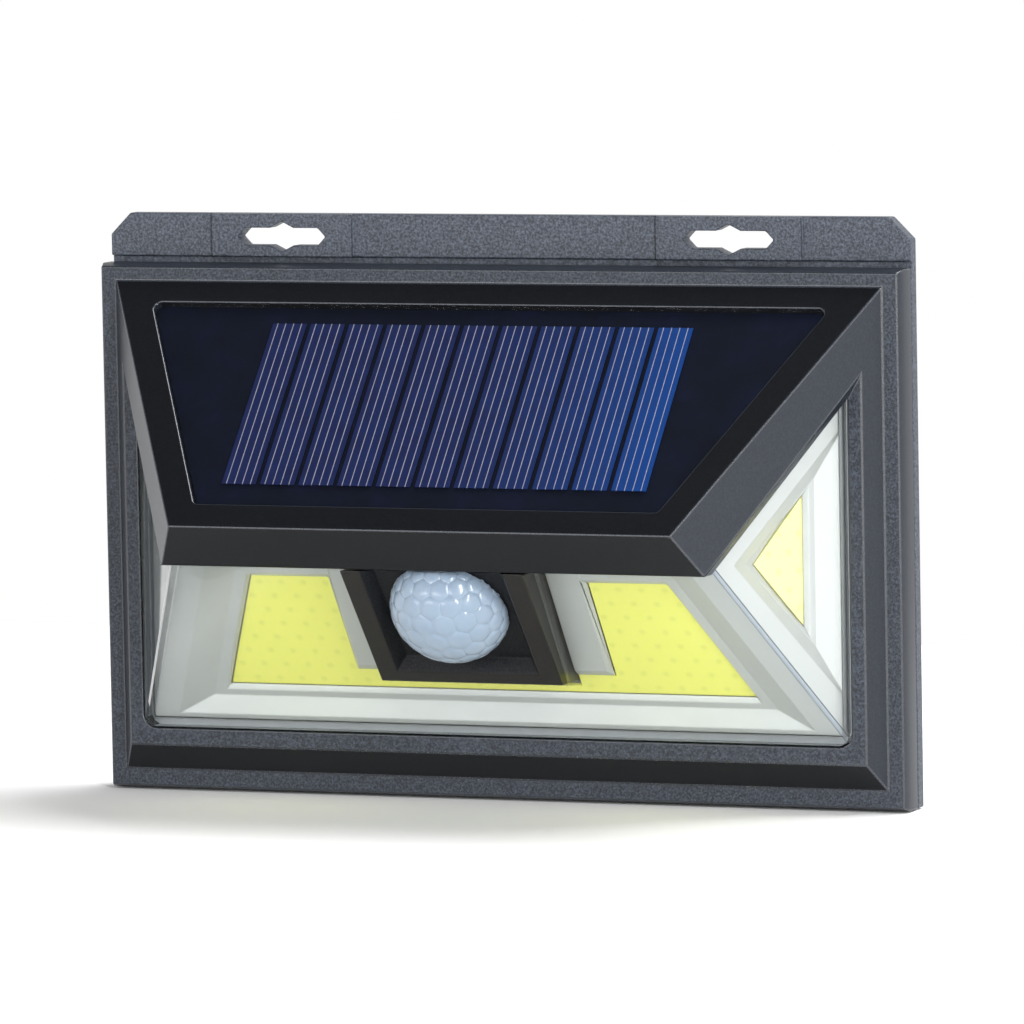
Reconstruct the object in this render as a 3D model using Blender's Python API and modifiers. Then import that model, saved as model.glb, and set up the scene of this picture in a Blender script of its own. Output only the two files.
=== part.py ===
"""Solar flood light: a hip-roof lamp for a wall, with a solar panel on its upper
slope, a clear lens with three COB LED areas below, and a motion sensor dome.

The frame is +Z up, the front faces -Y, and the origin is the middle of the flat
back face. Driving sizes are in millimetres, and "depth" is the distance in front
of the back face.
"""
import math

import bmesh
import bpy
from mathutils import Matrix, Vector

MM = 0.001
GAP = 0.3                      # clearance between pieces that touch

# Outline of the body and of the hanging strip
HALF_WIDTH = 93.1
BODY_LOW = -63.1
BODY_HIGH = 52.6
STRIP_HIGH = 63.3
STRIP_CORNER = 4.7
COVER_THICK = 3.4
FLANGE_DEPTH = 10.6
FLANGE_CHAMFER = 0.7
FLANGE_CHAMFER_DEPTH = 2.4

# Hip roof: its foot on the flange, and the ridge between the two slopes
FOOT_X = 88.9
FOOT_LOW = -58.6
FOOT_HIGH = 48.9
RIDGE_X = 57.4
RIDGE_Z = -0.3
RIDGE_DEPTH = 56.0
SIDE_WALL = 2.6
SLOPE_WALL = 3.9
FLANGE_WALL = 2.2
POCKET_WALL = 4.7              # side wall of the body round the back pocket
POCKET_X = HALF_WIDTH - POCKET_WALL
POCKET_LOW = BODY_LOW + POCKET_WALL
POCKET_HIGH = BODY_HIGH - POCKET_WALL
GROOVE_WIDTH = 2.0             # gasket groove in the housing's back edge
GROOVE_SINK = 1.4
GASKET_THICK = 1.1
EDGE_RADIUS = 2.4

# Front opening, seen from the front
EAVE_X = 62.3
EAVE_Z = -9.5
GABLE_X = 85.9                 # the slanted edge of the opening runs to here
GABLE_Z = 31.2
OPENING_X = 82.5
OPENING_LOW = -49.0
OPENING_RADIUS = 3.0
LEDGE_DEPTH = 15.2
LEDGE_THICK = 2.0

# Lens
LENS_X = 82.2
LENS_LOW = -48.7
LENS_FOOT_DEPTH = 15.1
LENS_BACK_DEPTH = 11.5
LENS_CLEARANCE = 0.5           # in depth, between the roof's wall and the lens at the eave
LENS_SIDE_CLEARANCE = 0.67     # in width, at the same depth
LENS_THICK = 1.8
LENS_TUCK = 3.0                # how far the lens runs on behind the eave

# Reflector and LED levels below the outer face of the lens
RIM_LEVEL = 2.1
STEP_LEVEL = 4.9
REFLECTOR_BACK = 5.9
LED_LEVEL = 6.2
PHOSPHOR_THICK = 0.8
LED_BOARD_THICK = 1.0
LED_BOARD_MARGIN = 1.2

# Windows of the reflector, seen from the front
CUP_LOW, CUP_LOW_X, CUP_HIGH, CUP_HIGH_X = -45.6, 74.0, -8.6, 55.2
STEP_LOW, STEP_LOW_X, STEP_HIGH, STEP_HIGH_X = -41.2, 65.6, -10.0, 49.8
WINDOW_LOW, WINDOW_LOW_X, WINDOW_HIGH, WINDOW_HIGH_X = -40.1, 62.4, -12.2, 48.4
LED_LOW, LED_LOW_X, LED_HIGH, LED_HIGH_X = -38.5, 61.2, -12.9, 48.1
ISLAND_X = 30.0                # half width of the bar beside the sensor housing
ISLAND_LOW = -34.5
ISLAND_BEVEL = 1.1
SIDE_CUP = ((81.0, 19.9), (64.4, -8.2), (80.6, -38.4))
SIDE_STEP = ((75.2, 8.8), (64.8, -8.6), (75.2, -27.6))
SIDE_WINDOW = ((74.4, 7.0), (65.0, -8.7), (74.4, -25.4))
SIDE_LED = ((72.9, 5.0), (65.6, -8.8), (72.9, -22.8))

# Solar panel, seen from the front
PANEL_HIGH, PANEL_HIGH_X = 44.4, 78.3
PANEL_LOW, PANEL_LOW_X = 4.5, 52.8
PANEL_RADIUS = 1.6
PANEL_DEPTH = 2.5
COVER_SHEET_THICK = 0.6
CELL_THICK = 0.2
BACKING_THICK = 0.7
CELL_COUNT = 11
CELL_PITCH = 8.95
CELL_WIDTH = 7.85
CELL_LOW = 8.9
CELL_HIGH = 41.0
PANEL_LEAD_X = 30.0
PANEL_LEAD_Y = -20.0
LEAD_HOLE = 1.8

# Sensor housing and dome
SENSOR_X = 21.0
SENSOR_LOW = -35.9
SENSOR_DEPTH = 26.4            # depth of its front face at its lower edge
SENSOR_PROUD = 0.14            # its face stands this far out past the eave
SENSOR_THICK = 11.0
SENSOR_WALL = 1.8
RECESS_X = 16.4
RECESS_LOW = 3.2               # width of the lower rim, along the face
RECESS_DEPTH = 3.0
RECESS_DRAFT = 2.0
SENSOR_FLOOR = 1.8
SENSOR_BOARD_DROP = 2.0        # from the floor down to the sensor board
SENSOR_BOARD_THICK = 1.0
SENSOR_BOARD_LOW = 8.0         # from the housing's lower edge, along the face
SENSOR_BOARD_HIGH = 23.4
SENSOR_CAN_MIDDLE = 17.6
SENSOR_CAN_RADIUS = 4.6
SENSOR_CAN_HEIGHT = 4.2
DOME_RADIUS = 13.1
DOME_RISE = 10.6
DOME_THICK = 1.0
DOME_MIDDLE = 20.6             # from the lower edge, along the face
DOME_HOLE = 11.0

# Hanging slots
SLOT_X = 52.0
SLOT_Z = 58.3
SLOT_HALF_LENGTH = 10.35
SLOT_HALF_HEIGHT = 1.9
SLOT_POINT = 1.8               # length of the pointed end
DIAMOND_HALF_WIDTH = 2.84
DIAMOND_HALF_HEIGHT = 3.3
SLOT_PANEL_HALF_WIDTH = 16.6
SLOT_PANEL_RAISE = 0.95
GROOVE_HEIGHT = 1.3
GROOVE_DEPTH = 0.9

# Fasteners
BOSS_RADIUS = 2.7
BOSS_X = 85.4
BOSS_HIGH = 44.8
BOSS_LOW = -55.2
BOSS_MIDDLE = -6.0
PILOT_RADIUS = 1.3
SHANK_RADIUS = 1.0
SHANK_HOLE = 1.6
HEAD_RADIUS = 2.5
HEAD_HEIGHT = 1.5
HEAD_SINK = 0.4                # the head lies this far below the back face
SCREW_LENGTH = 7.2
BOARD_SCREW_REACH = 6.0

# Control board
BOARD_X = 36.0
BOARD_LOW = -33.0
BOARD_HIGH = -3.0
BOARD_DEPTH = 9.0
BOARD_THICK = 1.6
BOARD_POST_X = 31.0
BOARD_POST_Z = -28.0
BUTTON_X = -18.0
BUTTON_Z = -20.0
BUTTON_RADIUS = 4.6
BUTTON_RECESS = 0.6
BUTTON_COLLAR = 6.4
BUTTON_COLLAR_THICK = 0.8
BUTTON_TRAVEL = 0.6
SWITCH_SIZE = 6.2
SWITCH_HEIGHT = 2.8
PLUNGER_RADIUS = 1.7

# Battery
CELL_RADIUS = 9.2
CELL_LENGTH = 65.0
CELL_DEPTH = 23.5
CELL_Z = 12.0
HOLDER_WALL = 1.6
CONTACT_THICK = 0.5
LEAD_RADIUS = 0.6

COLOURS = {
    "textured_abs": ((0.045, 0.052, 0.066), 0.62, 0.0),
    "smooth_abs": ((0.020, 0.021, 0.025), 0.38, 0.0),
    "clear_pc": ((0.75, 0.80, 0.84), 0.05, 0.0),
    "silver_plating": ((0.78, 0.79, 0.78), 0.22, 0.6),
    "phosphor": ((0.80, 0.86, 0.18), 0.55, 0.0),
    "board_white": ((0.80, 0.81, 0.80), 0.45, 0.0),
    "board_green": ((0.02, 0.16, 0.06), 0.40, 0.0),
    "milky_pe": ((0.62, 0.70, 0.80), 0.35, 0.0),
    "cell_blue": ((0.012, 0.030, 0.16), 0.25, 0.0),
    "panel_sheet": ((0.02, 0.04, 0.08), 0.06, 0.0),
    "rubber_black": ((0.02, 0.02, 0.02), 0.80, 0.0),
    "steel": ((0.62, 0.62, 0.60), 0.30, 1.0),
    "battery_wrap": ((0.03, 0.20, 0.42), 0.35, 0.0),
    "lead_red": ((0.55, 0.02, 0.02), 0.45, 0.0),
    "lead_black": ((0.02, 0.02, 0.02), 0.45, 0.0),
    "nylon_white": ((0.78, 0.77, 0.72), 0.45, 0.0),
}


# ---------------------------------------------------------------- basic tools

def clear_scene():
    for thing in list(bpy.data.objects):
        bpy.data.objects.remove(thing, do_unlink=True)


def collection(name):
    group = bpy.data.collections.new(name)
    bpy.context.scene.collection.children.link(group)
    return group


def material(name):
    found = bpy.data.materials.get(name)
    if found:
        return found
    colour, roughness, metallic = COLOURS[name]
    made = bpy.data.materials.new(name)
    made.use_nodes = True
    shader = made.node_tree.nodes["Principled BSDF"]
    shader.inputs["Base Color"].default_value = (*colour, 1.0)
    shader.inputs["Roughness"].default_value = roughness
    shader.inputs["Metallic"].default_value = metallic
    made.diffuse_color = (*colour, 1.0)
    return made


def add_object(name, mesh, finish=None):
    """A named object; one without a finish is a cutter, kept out of the model."""
    thing = bpy.data.objects.new(name, mesh)
    if finish:
        PARTS.objects.link(thing)
        mesh.materials.append(material(finish))
    else:
        CUTTERS.objects.link(thing)
        thing.hide_render = True
        thing.display_type = "WIRE"
    return thing


def from_bmesh(name, shape, finish=None):
    """Turn a bmesh in millimetres into an object in metres."""
    bmesh.ops.recalc_face_normals(shape, faces=shape.faces)
    bmesh.ops.scale(shape, vec=(MM, MM, MM), verts=shape.verts)
    mesh = bpy.data.meshes.new(name)
    shape.to_mesh(mesh)
    shape.free()
    return add_object(name, mesh, finish)


def combine(thing, tool, operation="DIFFERENCE"):
    step = thing.modifiers.new(tool.name, "BOOLEAN")
    step.operation = operation
    step.object = tool
    return thing


def join(thing, tool):
    return combine(thing, tool, "UNION")


# ------------------------------------------------------- frames and projections

def face_frame(point, tilt=0.0, turn=0.0):
    """Frame of a flat face: local Z points out of it, local Y runs up it. The
    untilted face looks straight forward; tilt leans its top forward, and turn
    swings it towards +X."""
    return (Matrix.Translation(point) @ Matrix.Rotation(turn, 4, "Z")
            @ Matrix.Rotation(math.pi / 2 + tilt, 4, "X"))


FRONT = face_frame((0, 0, 0))
LOW_RISE = (RIDGE_DEPTH - FLANGE_DEPTH) / (RIDGE_Z - FOOT_LOW)
SUN_RISE = (RIDGE_DEPTH - FLANGE_DEPTH) / (FOOT_HIGH - RIDGE_Z)
SIDE_FALL = (FOOT_X - RIDGE_X) / (RIDGE_DEPTH - FLANGE_DEPTH)

EAVE_DEPTH = (FLANGE_DEPTH + LOW_RISE * (EAVE_Z - FOOT_LOW)
              - SLOPE_WALL * math.hypot(1, LOW_RISE) - LENS_CLEARANCE)
EAVE_SIDE_X = (FOOT_X - SIDE_FALL * (EAVE_DEPTH - FLANGE_DEPTH)
               - SIDE_WALL * math.hypot(1, SIDE_FALL) - LENS_SIDE_CLEARANCE)
LENS_RISE_LOW = (EAVE_DEPTH - LENS_FOOT_DEPTH) / (EAVE_Z - LENS_LOW)
LENS_RISE_SIDE = (LENS_X - EAVE_SIDE_X) / (EAVE_DEPTH - LENS_FOOT_DEPTH)

ROOF_LOW = face_frame((0, -FLANGE_DEPTH, FOOT_LOW), math.atan(LOW_RISE))
ROOF_SUN = face_frame((0, -FLANGE_DEPTH, FOOT_HIGH), -math.atan(SUN_RISE))
ROOF_SIDES = [face_frame((side * FOOT_X, -FLANGE_DEPTH, 0), 0, side * math.atan2(1, SIDE_FALL))
              for side in (1, -1)]
LENS_FACE = face_frame((0, -LENS_FOOT_DEPTH, LENS_LOW), math.atan(LENS_RISE_LOW))
LENS_SIDES = [face_frame((side * LENS_X, -LENS_FOOT_DEPTH, 0), 0,
                         side * math.atan2(1, LENS_RISE_SIDE)) for side in (1, -1)]
SENSOR_RISE = ((FLANGE_DEPTH + LOW_RISE * (EAVE_Z - GAP - FOOT_LOW) + SENSOR_PROUD - SENSOR_DEPTH)
               / (EAVE_Z - GAP - SENSOR_LOW))
SENSOR_FACE = face_frame((0, -SENSOR_DEPTH, SENSOR_LOW), math.atan(SENSOR_RISE))


def seen_from_front(points, face, level):
    """Front-view (x, z) points, moved along Y onto a face's level, in its frame."""
    back = face.inverted()
    along = back.to_3x3() @ Vector((0, 1, 0))
    found = []
    for x, z in points:
        start = back @ Vector((x, 0, z))
        spot = start + along * ((level - start.z) / along.z)
        found.append((spot.x, spot.y))
    return found


def mirrored(points):
    return [(-x, z) for x, z in points]


ARC_POINTS = 5                 # points on each corner arc


def rounded(points, radius):
    """The outline with each corner turned into an arc."""
    made = []
    count = len(points)
    for index, corner in enumerate(points):
        here = Vector(corner)
        before = (Vector(points[index - 1]) - here).normalized()
        after = (Vector(points[(index + 1) % count]) - here).normalized()
        half = before.angle(after) / 2
        middle = here + (before + after).normalized() * (radius / math.sin(half))
        reach = radius / math.tan(half)
        start = here + before * reach - middle
        end = here + after * reach - middle
        for step in range(ARC_POINTS):
            spoke = start.lerp(end, step / (ARC_POINTS - 1)).normalized() * radius
            made.append(tuple(middle + spoke))
    return made


# ------------------------------------------------------------------- shape tools

def box(name, low, high, finish=None):
    shape = bmesh.new()
    bmesh.ops.create_cube(shape, size=1.0)
    size = [b - a for a, b in zip(low, high)]
    middle = [(a + b) / 2 for a, b in zip(low, high)]
    bmesh.ops.scale(shape, vec=size, verts=shape.verts)
    bmesh.ops.translate(shape, vec=middle, verts=shape.verts)
    return from_bmesh(name, shape, finish)


def trimmed_box(name, low, high, planes, finish=None):
    """A box cut by planes given as (frame, level); what lies beyond each goes."""
    shape = bmesh.new()
    bmesh.ops.create_cube(shape, size=1.0)
    bmesh.ops.scale(shape, vec=[b - a for a, b in zip(low, high)], verts=shape.verts)
    bmesh.ops.translate(shape, vec=[(a + b) / 2 for a, b in zip(low, high)], verts=shape.verts)
    for frame, level in planes:
        normal = frame.to_3x3() @ Vector((0, 0, 1))
        point = frame @ Vector((0, 0, level))
        whole = shape.verts[:] + shape.edges[:] + shape.faces[:]
        bmesh.ops.bisect_plane(shape, geom=whole, plane_co=point, plane_no=normal,
                               clear_outer=True)
        bmesh.ops.remove_doubles(shape, verts=shape.verts, dist=0.002)
        edges = [edge for edge in shape.edges if edge.is_boundary]
        if edges:
            bmesh.ops.contextual_create(shape, geom=edges)
    return from_bmesh(name, shape, finish)


def slab(name, outline, low, high, face=FRONT, finish=None):
    """A flat outline in a face's frame, from level low to level high."""
    curve = bpy.data.curves.new(name, "CURVE")
    curve.dimensions = "2D"
    curve.fill_mode = "BOTH"
    curve.extrude = (high - low) / 2
    spline = curve.splines.new("POLY")
    spline.points.add(len(outline) - 1)
    for point, (x, y) in zip(spline.points, outline):
        point.co = (x, y, 0, 1)
    spline.use_cyclic_u = True
    guide = bpy.data.objects.new(name, curve)
    bpy.context.scene.collection.objects.link(guide)
    mesh = bpy.data.meshes.new_from_object(guide.evaluated_get(bpy.context.evaluated_depsgraph_get()))
    bpy.data.objects.remove(guide)
    shape = bmesh.new()
    shape.from_mesh(mesh)
    bmesh.ops.remove_doubles(shape, verts=shape.verts, dist=0.001)
    bmesh.ops.transform(shape, matrix=face @ Matrix.Translation((0, 0, (low + high) / 2)),
                        verts=shape.verts)
    bpy.data.meshes.remove(mesh)
    return from_bmesh(name, shape, finish)


def tapered(name, face, low, low_outline, high, high_outline, past=(0.0, 0.0), finish=None):
    """The straight loft between two outlines of a face, run on past either end."""
    shape = bmesh.new()
    span = high - low
    for share in (-past[0] / span, 1 + past[1] / span):
        for (x0, y0), (x1, y1) in zip(low_outline, high_outline):
            spot = Vector((x0 + (x1 - x0) * share, y0 + (y1 - y0) * share, low + span * share))
            shape.verts.new(face @ spot)
    bmesh.ops.convex_hull(shape, input=shape.verts)
    return from_bmesh(name, shape, finish)


def turned(name, profile, face, finish=None, steps=24):
    """A turned shape: (radius, level) points down its outer side, spun round the
    face's local Z."""
    shape = bmesh.new()
    points = [shape.verts.new((radius * MM, 0, level * MM)) for radius, level in profile]
    for first, second in zip(points, points[1:]):
        shape.edges.new((first, second))
    mesh = bpy.data.meshes.new(name)
    shape.to_mesh(mesh)
    shape.free()
    thing = add_object(name, mesh, finish)
    spin = thing.modifiers.new("spin", "SCREW")
    spin.steps = steps
    spin.render_steps = steps
    spin.use_merge_vertices = True
    spin.merge_threshold = 1e-6
    spin.use_smooth_shade = True
    place = face.copy()
    place.translation = face.translation * MM
    thing.matrix_world = place
    return thing


def rod(name, radius, low, high, face, finish=None, steps=24):
    shape = bmesh.new()
    bmesh.ops.create_cone(shape, cap_ends=True, segments=steps, radius1=radius, radius2=radius,
                          depth=high - low)
    place = face @ Matrix.Translation((0, 0, (low + high) / 2))
    bmesh.ops.transform(shape, matrix=place, verts=shape.verts)
    return from_bmesh(name, shape, finish)


def lead(name, points, finish):
    """A wire along a smooth curve through hand-placed points."""
    curve = bpy.data.curves.new(name, "CURVE")
    curve.dimensions = "3D"
    curve.bevel_depth = LEAD_RADIUS * MM
    curve.bevel_resolution = 2
    curve.use_fill_caps = True
    spots = smooth_points([Vector(point) for point in points], steps=3)
    spline = curve.splines.new("POLY")
    spline.points.add(len(spots) - 1)
    for point, spot in zip(spline.points, spots):
        point.co = (*(spot * MM), 1)
    curve.materials.append(material(finish))
    thing = bpy.data.objects.new(name, curve)
    PARTS.objects.link(thing)
    return thing


def smooth_points(points, steps):
    """Catmull-Rom points through the given ones."""
    padded = [points[0] * 2 - points[1], *points, points[-1] * 2 - points[-2]]
    made = []
    for a, b, c, d in zip(padded, padded[1:], padded[2:], padded[3:]):
        for step in range(steps):
            t = step / steps
            made.append(0.5 * (2 * b + (c - a) * t + (2 * a - 5 * b + 4 * c - d) * t ** 2
                               + (3 * b - a - 3 * c + d) * t ** 3))
    made.append(points[-1])
    return made


def at(x, z):
    """Frame of an axis that runs forward through a front-view point."""
    return face_frame((x, 0, z))


# ------------------------------------------------------------- shared outlines

def slant(x):
    """Height of the opening's slanted edge at a width."""
    return EAVE_Z + (x - EAVE_X) * (GABLE_Z - EAVE_Z) / (GABLE_X - EAVE_X)


def opening_outline(half_width, low, tuck=0.0):
    """Front view of the opening: under the eave, and up beside the side strips.
    Tuck moves the upper edges out, under the eave and the strips."""
    run = Vector((GABLE_X - EAVE_X, GABLE_Z - EAVE_Z)).normalized()
    lift = tuck / run.x                       # the slanted edge, moved up by this
    high = EAVE_Z + tuck
    inner = EAVE_X - (lift - tuck) * run.x / run.y
    outer_high = slant(half_width) + lift
    return [(-half_width, low), (half_width, low), (half_width, outer_high),
            (inner, high), (-inner, high), (-half_width, outer_high)]


def soft_opening(half_width, low, tuck):
    """The opening's outline with its two lower corners rounded."""
    corners = opening_outline(half_width, low, tuck)
    return rounded(corners, OPENING_RADIUS)[:2 * ARC_POINTS] + corners[2:]


def slot_outline(x):
    """Hanging slot: a bar with pointed ends and a diamond in its middle."""
    quarter = [(SLOT_HALF_LENGTH, 0), (SLOT_HALF_LENGTH - SLOT_POINT, SLOT_HALF_HEIGHT),
               (DIAMOND_HALF_WIDTH, SLOT_HALF_HEIGHT), (0, DIAMOND_HALF_HEIGHT)]
    upper = quarter + [(-a, b) for a, b in reversed(quarter[:-1])]
    lower = [(a, -b) for a, b in reversed(upper[1:-1])]
    return [(x + a, SLOT_Z + b) for a, b in upper + lower]


def boss_places():
    """Front-view places of the rear screws."""
    sides = [(side * BOSS_X, z) for side in (-1, 1) for z in (BOSS_LOW, BOSS_MIDDLE, BOSS_HIGH)]
    return sides + [(0, BOSS_LOW), (0, BOSS_HIGH)]


def trapezium(low, low_x, high, high_x):
    return [(-low_x, low), (low_x, low), (high_x, high), (-high_x, high)]


def led_outline(margin=0.0):
    """Lower LED area: a trapezium with a notch round the sensor housing."""
    notch_x = SENSOR_X + GAP
    notch_z = SENSOR_LOW - 4 * GAP
    return [(-LED_LOW_X - margin, LED_LOW - margin), (LED_LOW_X + margin, LED_LOW - margin),
            (LED_HIGH_X + margin, LED_HIGH + margin), (ISLAND_X, LED_HIGH + margin),
            (ISLAND_X, ISLAND_LOW), (notch_x, ISLAND_LOW), (notch_x, notch_z),
            (-notch_x, notch_z), (-notch_x, ISLAND_LOW), (-ISLAND_X, ISLAND_LOW),
            (-ISLAND_X, LED_HIGH + margin), (-LED_HIGH_X - margin, LED_HIGH + margin)]


def panel_outline(margin=0.0):
    """Solar panel, with small corner arcs, in the sloping face's frame."""
    corners = seen_from_front(trapezium(PANEL_LOW, PANEL_LOW_X, PANEL_HIGH, PANEL_HIGH_X),
                              ROOF_SUN, 0)
    grown = [(x + math.copysign(margin, x), y + (margin if index > 1 else -margin))
             for index, (x, y) in enumerate(corners)]
    return rounded(grown, PANEL_RADIUS)


# ------------------------------------------------------------------------ parts

def make_rear_cover():
    outline = [(-HALF_WIDTH, BODY_LOW), (HALF_WIDTH, BODY_LOW),
               (HALF_WIDTH, STRIP_HIGH - STRIP_CORNER), (HALF_WIDTH - STRIP_CORNER, STRIP_HIGH),
               (STRIP_CORNER - HALF_WIDTH, STRIP_HIGH), (-HALF_WIDTH, STRIP_HIGH - STRIP_CORNER)]
    cover = slab("rear_cover", outline, 0, COVER_THICK, finish="textured_abs")
    strip_low = BODY_HIGH + GROOVE_HEIGHT
    for side in (-1, 1):
        middle = side * SLOT_X
        join(cover, box(f"slot_panel_{side}",
                        (middle - SLOT_PANEL_HALF_WIDTH, -COVER_THICK - SLOT_PANEL_RAISE, strip_low),
                        (middle + SLOT_PANEL_HALF_WIDTH, -1, STRIP_HIGH)))
    combine(cover, box("strip_groove", (-HALF_WIDTH - 1, -COVER_THICK - 1, BODY_HIGH - 0.4),
                       (HALF_WIDTH + 1, -COVER_THICK + GROOVE_DEPTH, strip_low)))
    for side in (-1, 1):
        combine(cover, slab(f"slot_cut_{side}", slot_outline(side * SLOT_X), -2, 8))
    for side in (-1, 1):
        place = at(side * BOARD_POST_X, BOARD_POST_Z)
        join(cover, rod(f"board_post_{side}", BOSS_RADIUS, COVER_THICK - 1, BOARD_DEPTH - GAP, place))
        combine(cover, rod(f"board_pilot_{side}", PILOT_RADIUS, COVER_THICK, BOARD_DEPTH + 1, place))
    for index, (x, z) in enumerate(boss_places()):
        combine(cover, rod(f"cover_hole_{index}", SHANK_HOLE, -1, COVER_THICK + 1, at(x, z)))
        combine(cover, rod(f"cover_sink_{index}", HEAD_RADIUS + GAP, -1,
                           HEAD_SINK + HEAD_HEIGHT + GAP / 2, at(x, z)))
    combine(cover, rod("button_hole", BUTTON_RADIUS + GAP, -1, COVER_THICK + 1, at(BUTTON_X, BUTTON_Z)))
    return cover


def edge_ring(name, width, low, high, finish=None):
    """A ring half way along the body's side wall, as seen from the front."""
    inset = POCKET_WALL / 2
    outlines = []
    for margin in (width / 2, -width / 2):
        x = HALF_WIDTH - inset + margin
        corners = [(-x, BODY_LOW + inset - margin), (x, BODY_LOW + inset - margin),
                   (x, BODY_HIGH - inset + margin), (-x, BODY_HIGH - inset + margin)]
        outlines.append(rounded(corners, EDGE_RADIUS))
    ring = slab(name, outlines[0], low, high, finish=finish)
    return combine(ring, slab(name + "_middle", outlines[1], low - 1, high + 1))


def make_rear_gasket():
    """A flat seal in the groove of the front housing's back edge."""
    back = COVER_THICK + GAP
    return edge_ring("rear_gasket", GROOVE_WIDTH - 2 * GAP, back, back + GASKET_THICK, "rubber_black")


def flange_block():
    """The flange, with a steep chamfer round its front edge."""
    turn = math.atan2(FLANGE_CHAMFER_DEPTH, FLANGE_CHAMFER)
    start = FLANGE_DEPTH - FLANGE_CHAMFER_DEPTH
    planes = [(face_frame((side * HALF_WIDTH, -start, 0), 0, side * turn), 0) for side in (-1, 1)]
    planes.append((face_frame((0, -start, BODY_LOW), turn), 0))
    planes.append((face_frame((0, -start, BODY_HIGH), -turn), 0))
    return trimmed_box("front_housing", (-HALF_WIDTH, -FLANGE_DEPTH, BODY_LOW),
                       (HALF_WIDTH, -COVER_THICK - GAP, BODY_HIGH), planes, "smooth_abs")


def roof_block(name, side, low, sun, half_width, bottom, top, back):
    """The hip roof, with each of its faces moved in by a distance."""
    planes = [(frame, -side) for frame in ROOF_SIDES]
    planes += [(ROOF_LOW, -low), (ROOF_SUN, -sun)]
    return trimmed_box(name, (-half_width, -RIDGE_DEPTH - 5, bottom), (half_width, -back, top), planes)


def make_front_housing():
    housing = flange_block()
    join(housing, roof_block("roof", 0, 0, 0, FOOT_X + 0.01, FOOT_LOW - 0.01, FOOT_HIGH + 0.01,
                             FLANGE_DEPTH - FLANGE_WALL))
    throat = OPENING_X + 0.6
    combine(housing, roof_block("roof_hollow", SIDE_WALL, SLOPE_WALL, SLOPE_WALL, throat,
                                OPENING_LOW - 1.2, FOOT_HIGH - SLOPE_WALL,
                                FLANGE_DEPTH - FLANGE_WALL - 1))
    combine(housing, box("back_pocket", (-POCKET_X, -FLANGE_DEPTH + FLANGE_WALL, POCKET_LOW),
                         (POCKET_X, 0, POCKET_HIGH)))
    ledge_x, ledge_low = OPENING_X + 2.6, OPENING_LOW - 3.4
    near, far, low, high = OPENING_X - 2.5, OPENING_X + 0.02, OPENING_LOW + 2.5, slant(OPENING_X - 3)
    right = [(ledge_x, ledge_low), (ledge_x, GABLE_Z), (far, GABLE_Z), (far, high), (near, high),
             (near, low)]
    ledge = right + mirrored(reversed(right))
    join(housing, slab("ledge", ledge, LEDGE_DEPTH - LEDGE_THICK, LEDGE_DEPTH + 0.4))
    for index, (x, z) in enumerate(boss_places()):
        join(housing, rod(f"boss_{index}", BOSS_RADIUS, COVER_THICK + 2 * GAP, FLANGE_DEPTH - 1,
                          at(x, z)))
        combine(housing, rod(f"boss_pilot_{index}", PILOT_RADIUS, COVER_THICK, FLANGE_DEPTH - 1.6,
                             at(x, z), steps=16))
    wide = HALF_WIDTH + 5
    combine(housing, slab("front_cut", opening_outline(wide, BODY_LOW - 5), LEDGE_DEPTH, 75))
    throat = soft_opening(OPENING_X, OPENING_LOW, GAP)
    combine(housing, slab("throat_cut", throat, 8, LEDGE_DEPTH + 0.5))
    combine(housing, slab("panel_recess", panel_outline(GAP), -PANEL_DEPTH, 5, ROOF_SUN))
    combine(housing, rod("panel_lead_hole", LEAD_HOLE, -PANEL_DEPTH - SLOPE_WALL, -1, panel_lead_frame()))
    return combine(housing, edge_ring("gasket_groove", GROOVE_WIDTH, COVER_THICK,
                                      COVER_THICK + GAP + GROOVE_SINK))


def panel_lead_frame():
    """Axis of the hole that the solar lead comes through, on the sloping face."""
    frame = ROOF_SUN.copy()
    frame.translation = ROOF_SUN @ Vector((PANEL_LEAD_X, PANEL_LEAD_Y, 0))
    return frame


def make_lens():
    planes = [(frame, 0) for frame in LENS_SIDES] + [(LENS_FACE, 0)]
    inner = [(frame, -LENS_THICK) for frame in LENS_SIDES] + [(LENS_FACE, -LENS_THICK)]
    low = (-LENS_X - 1, -RIDGE_DEPTH - 5, LENS_LOW - 1)
    high = (LENS_X + 1, -LENS_BACK_DEPTH, GABLE_Z)
    lens = trimmed_box("clear_lens", low, high, planes, "clear_pc")
    wall = LENS_THICK
    combine(lens, trimmed_box("lens_hollow", (wall - LENS_X, low[1], LENS_LOW + wall),
                              (LENS_X - wall, 0, GABLE_Z + 5), inner))
    outline = soft_opening(LENS_X, LENS_LOW, LENS_TUCK)
    combine(lens, slab("lens_trim", outline, 0, 75), "INTERSECT")
    return combine(lens, sensor_hole("lens_hole"))


def sensor_hole(name):
    x = SENSOR_X + GAP
    return box(name, (-x, -70, SENSOR_LOW - GAP), (x, 0, EAVE_Z + GAP))


def window_cut(name, face, upper, lower, high, low, past):
    """A hollow with sloping walls between two front-view outlines."""
    return tapered(name, face, low, seen_from_front(lower, face, low), high,
                   seen_from_front(upper, face, high), past)


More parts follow.
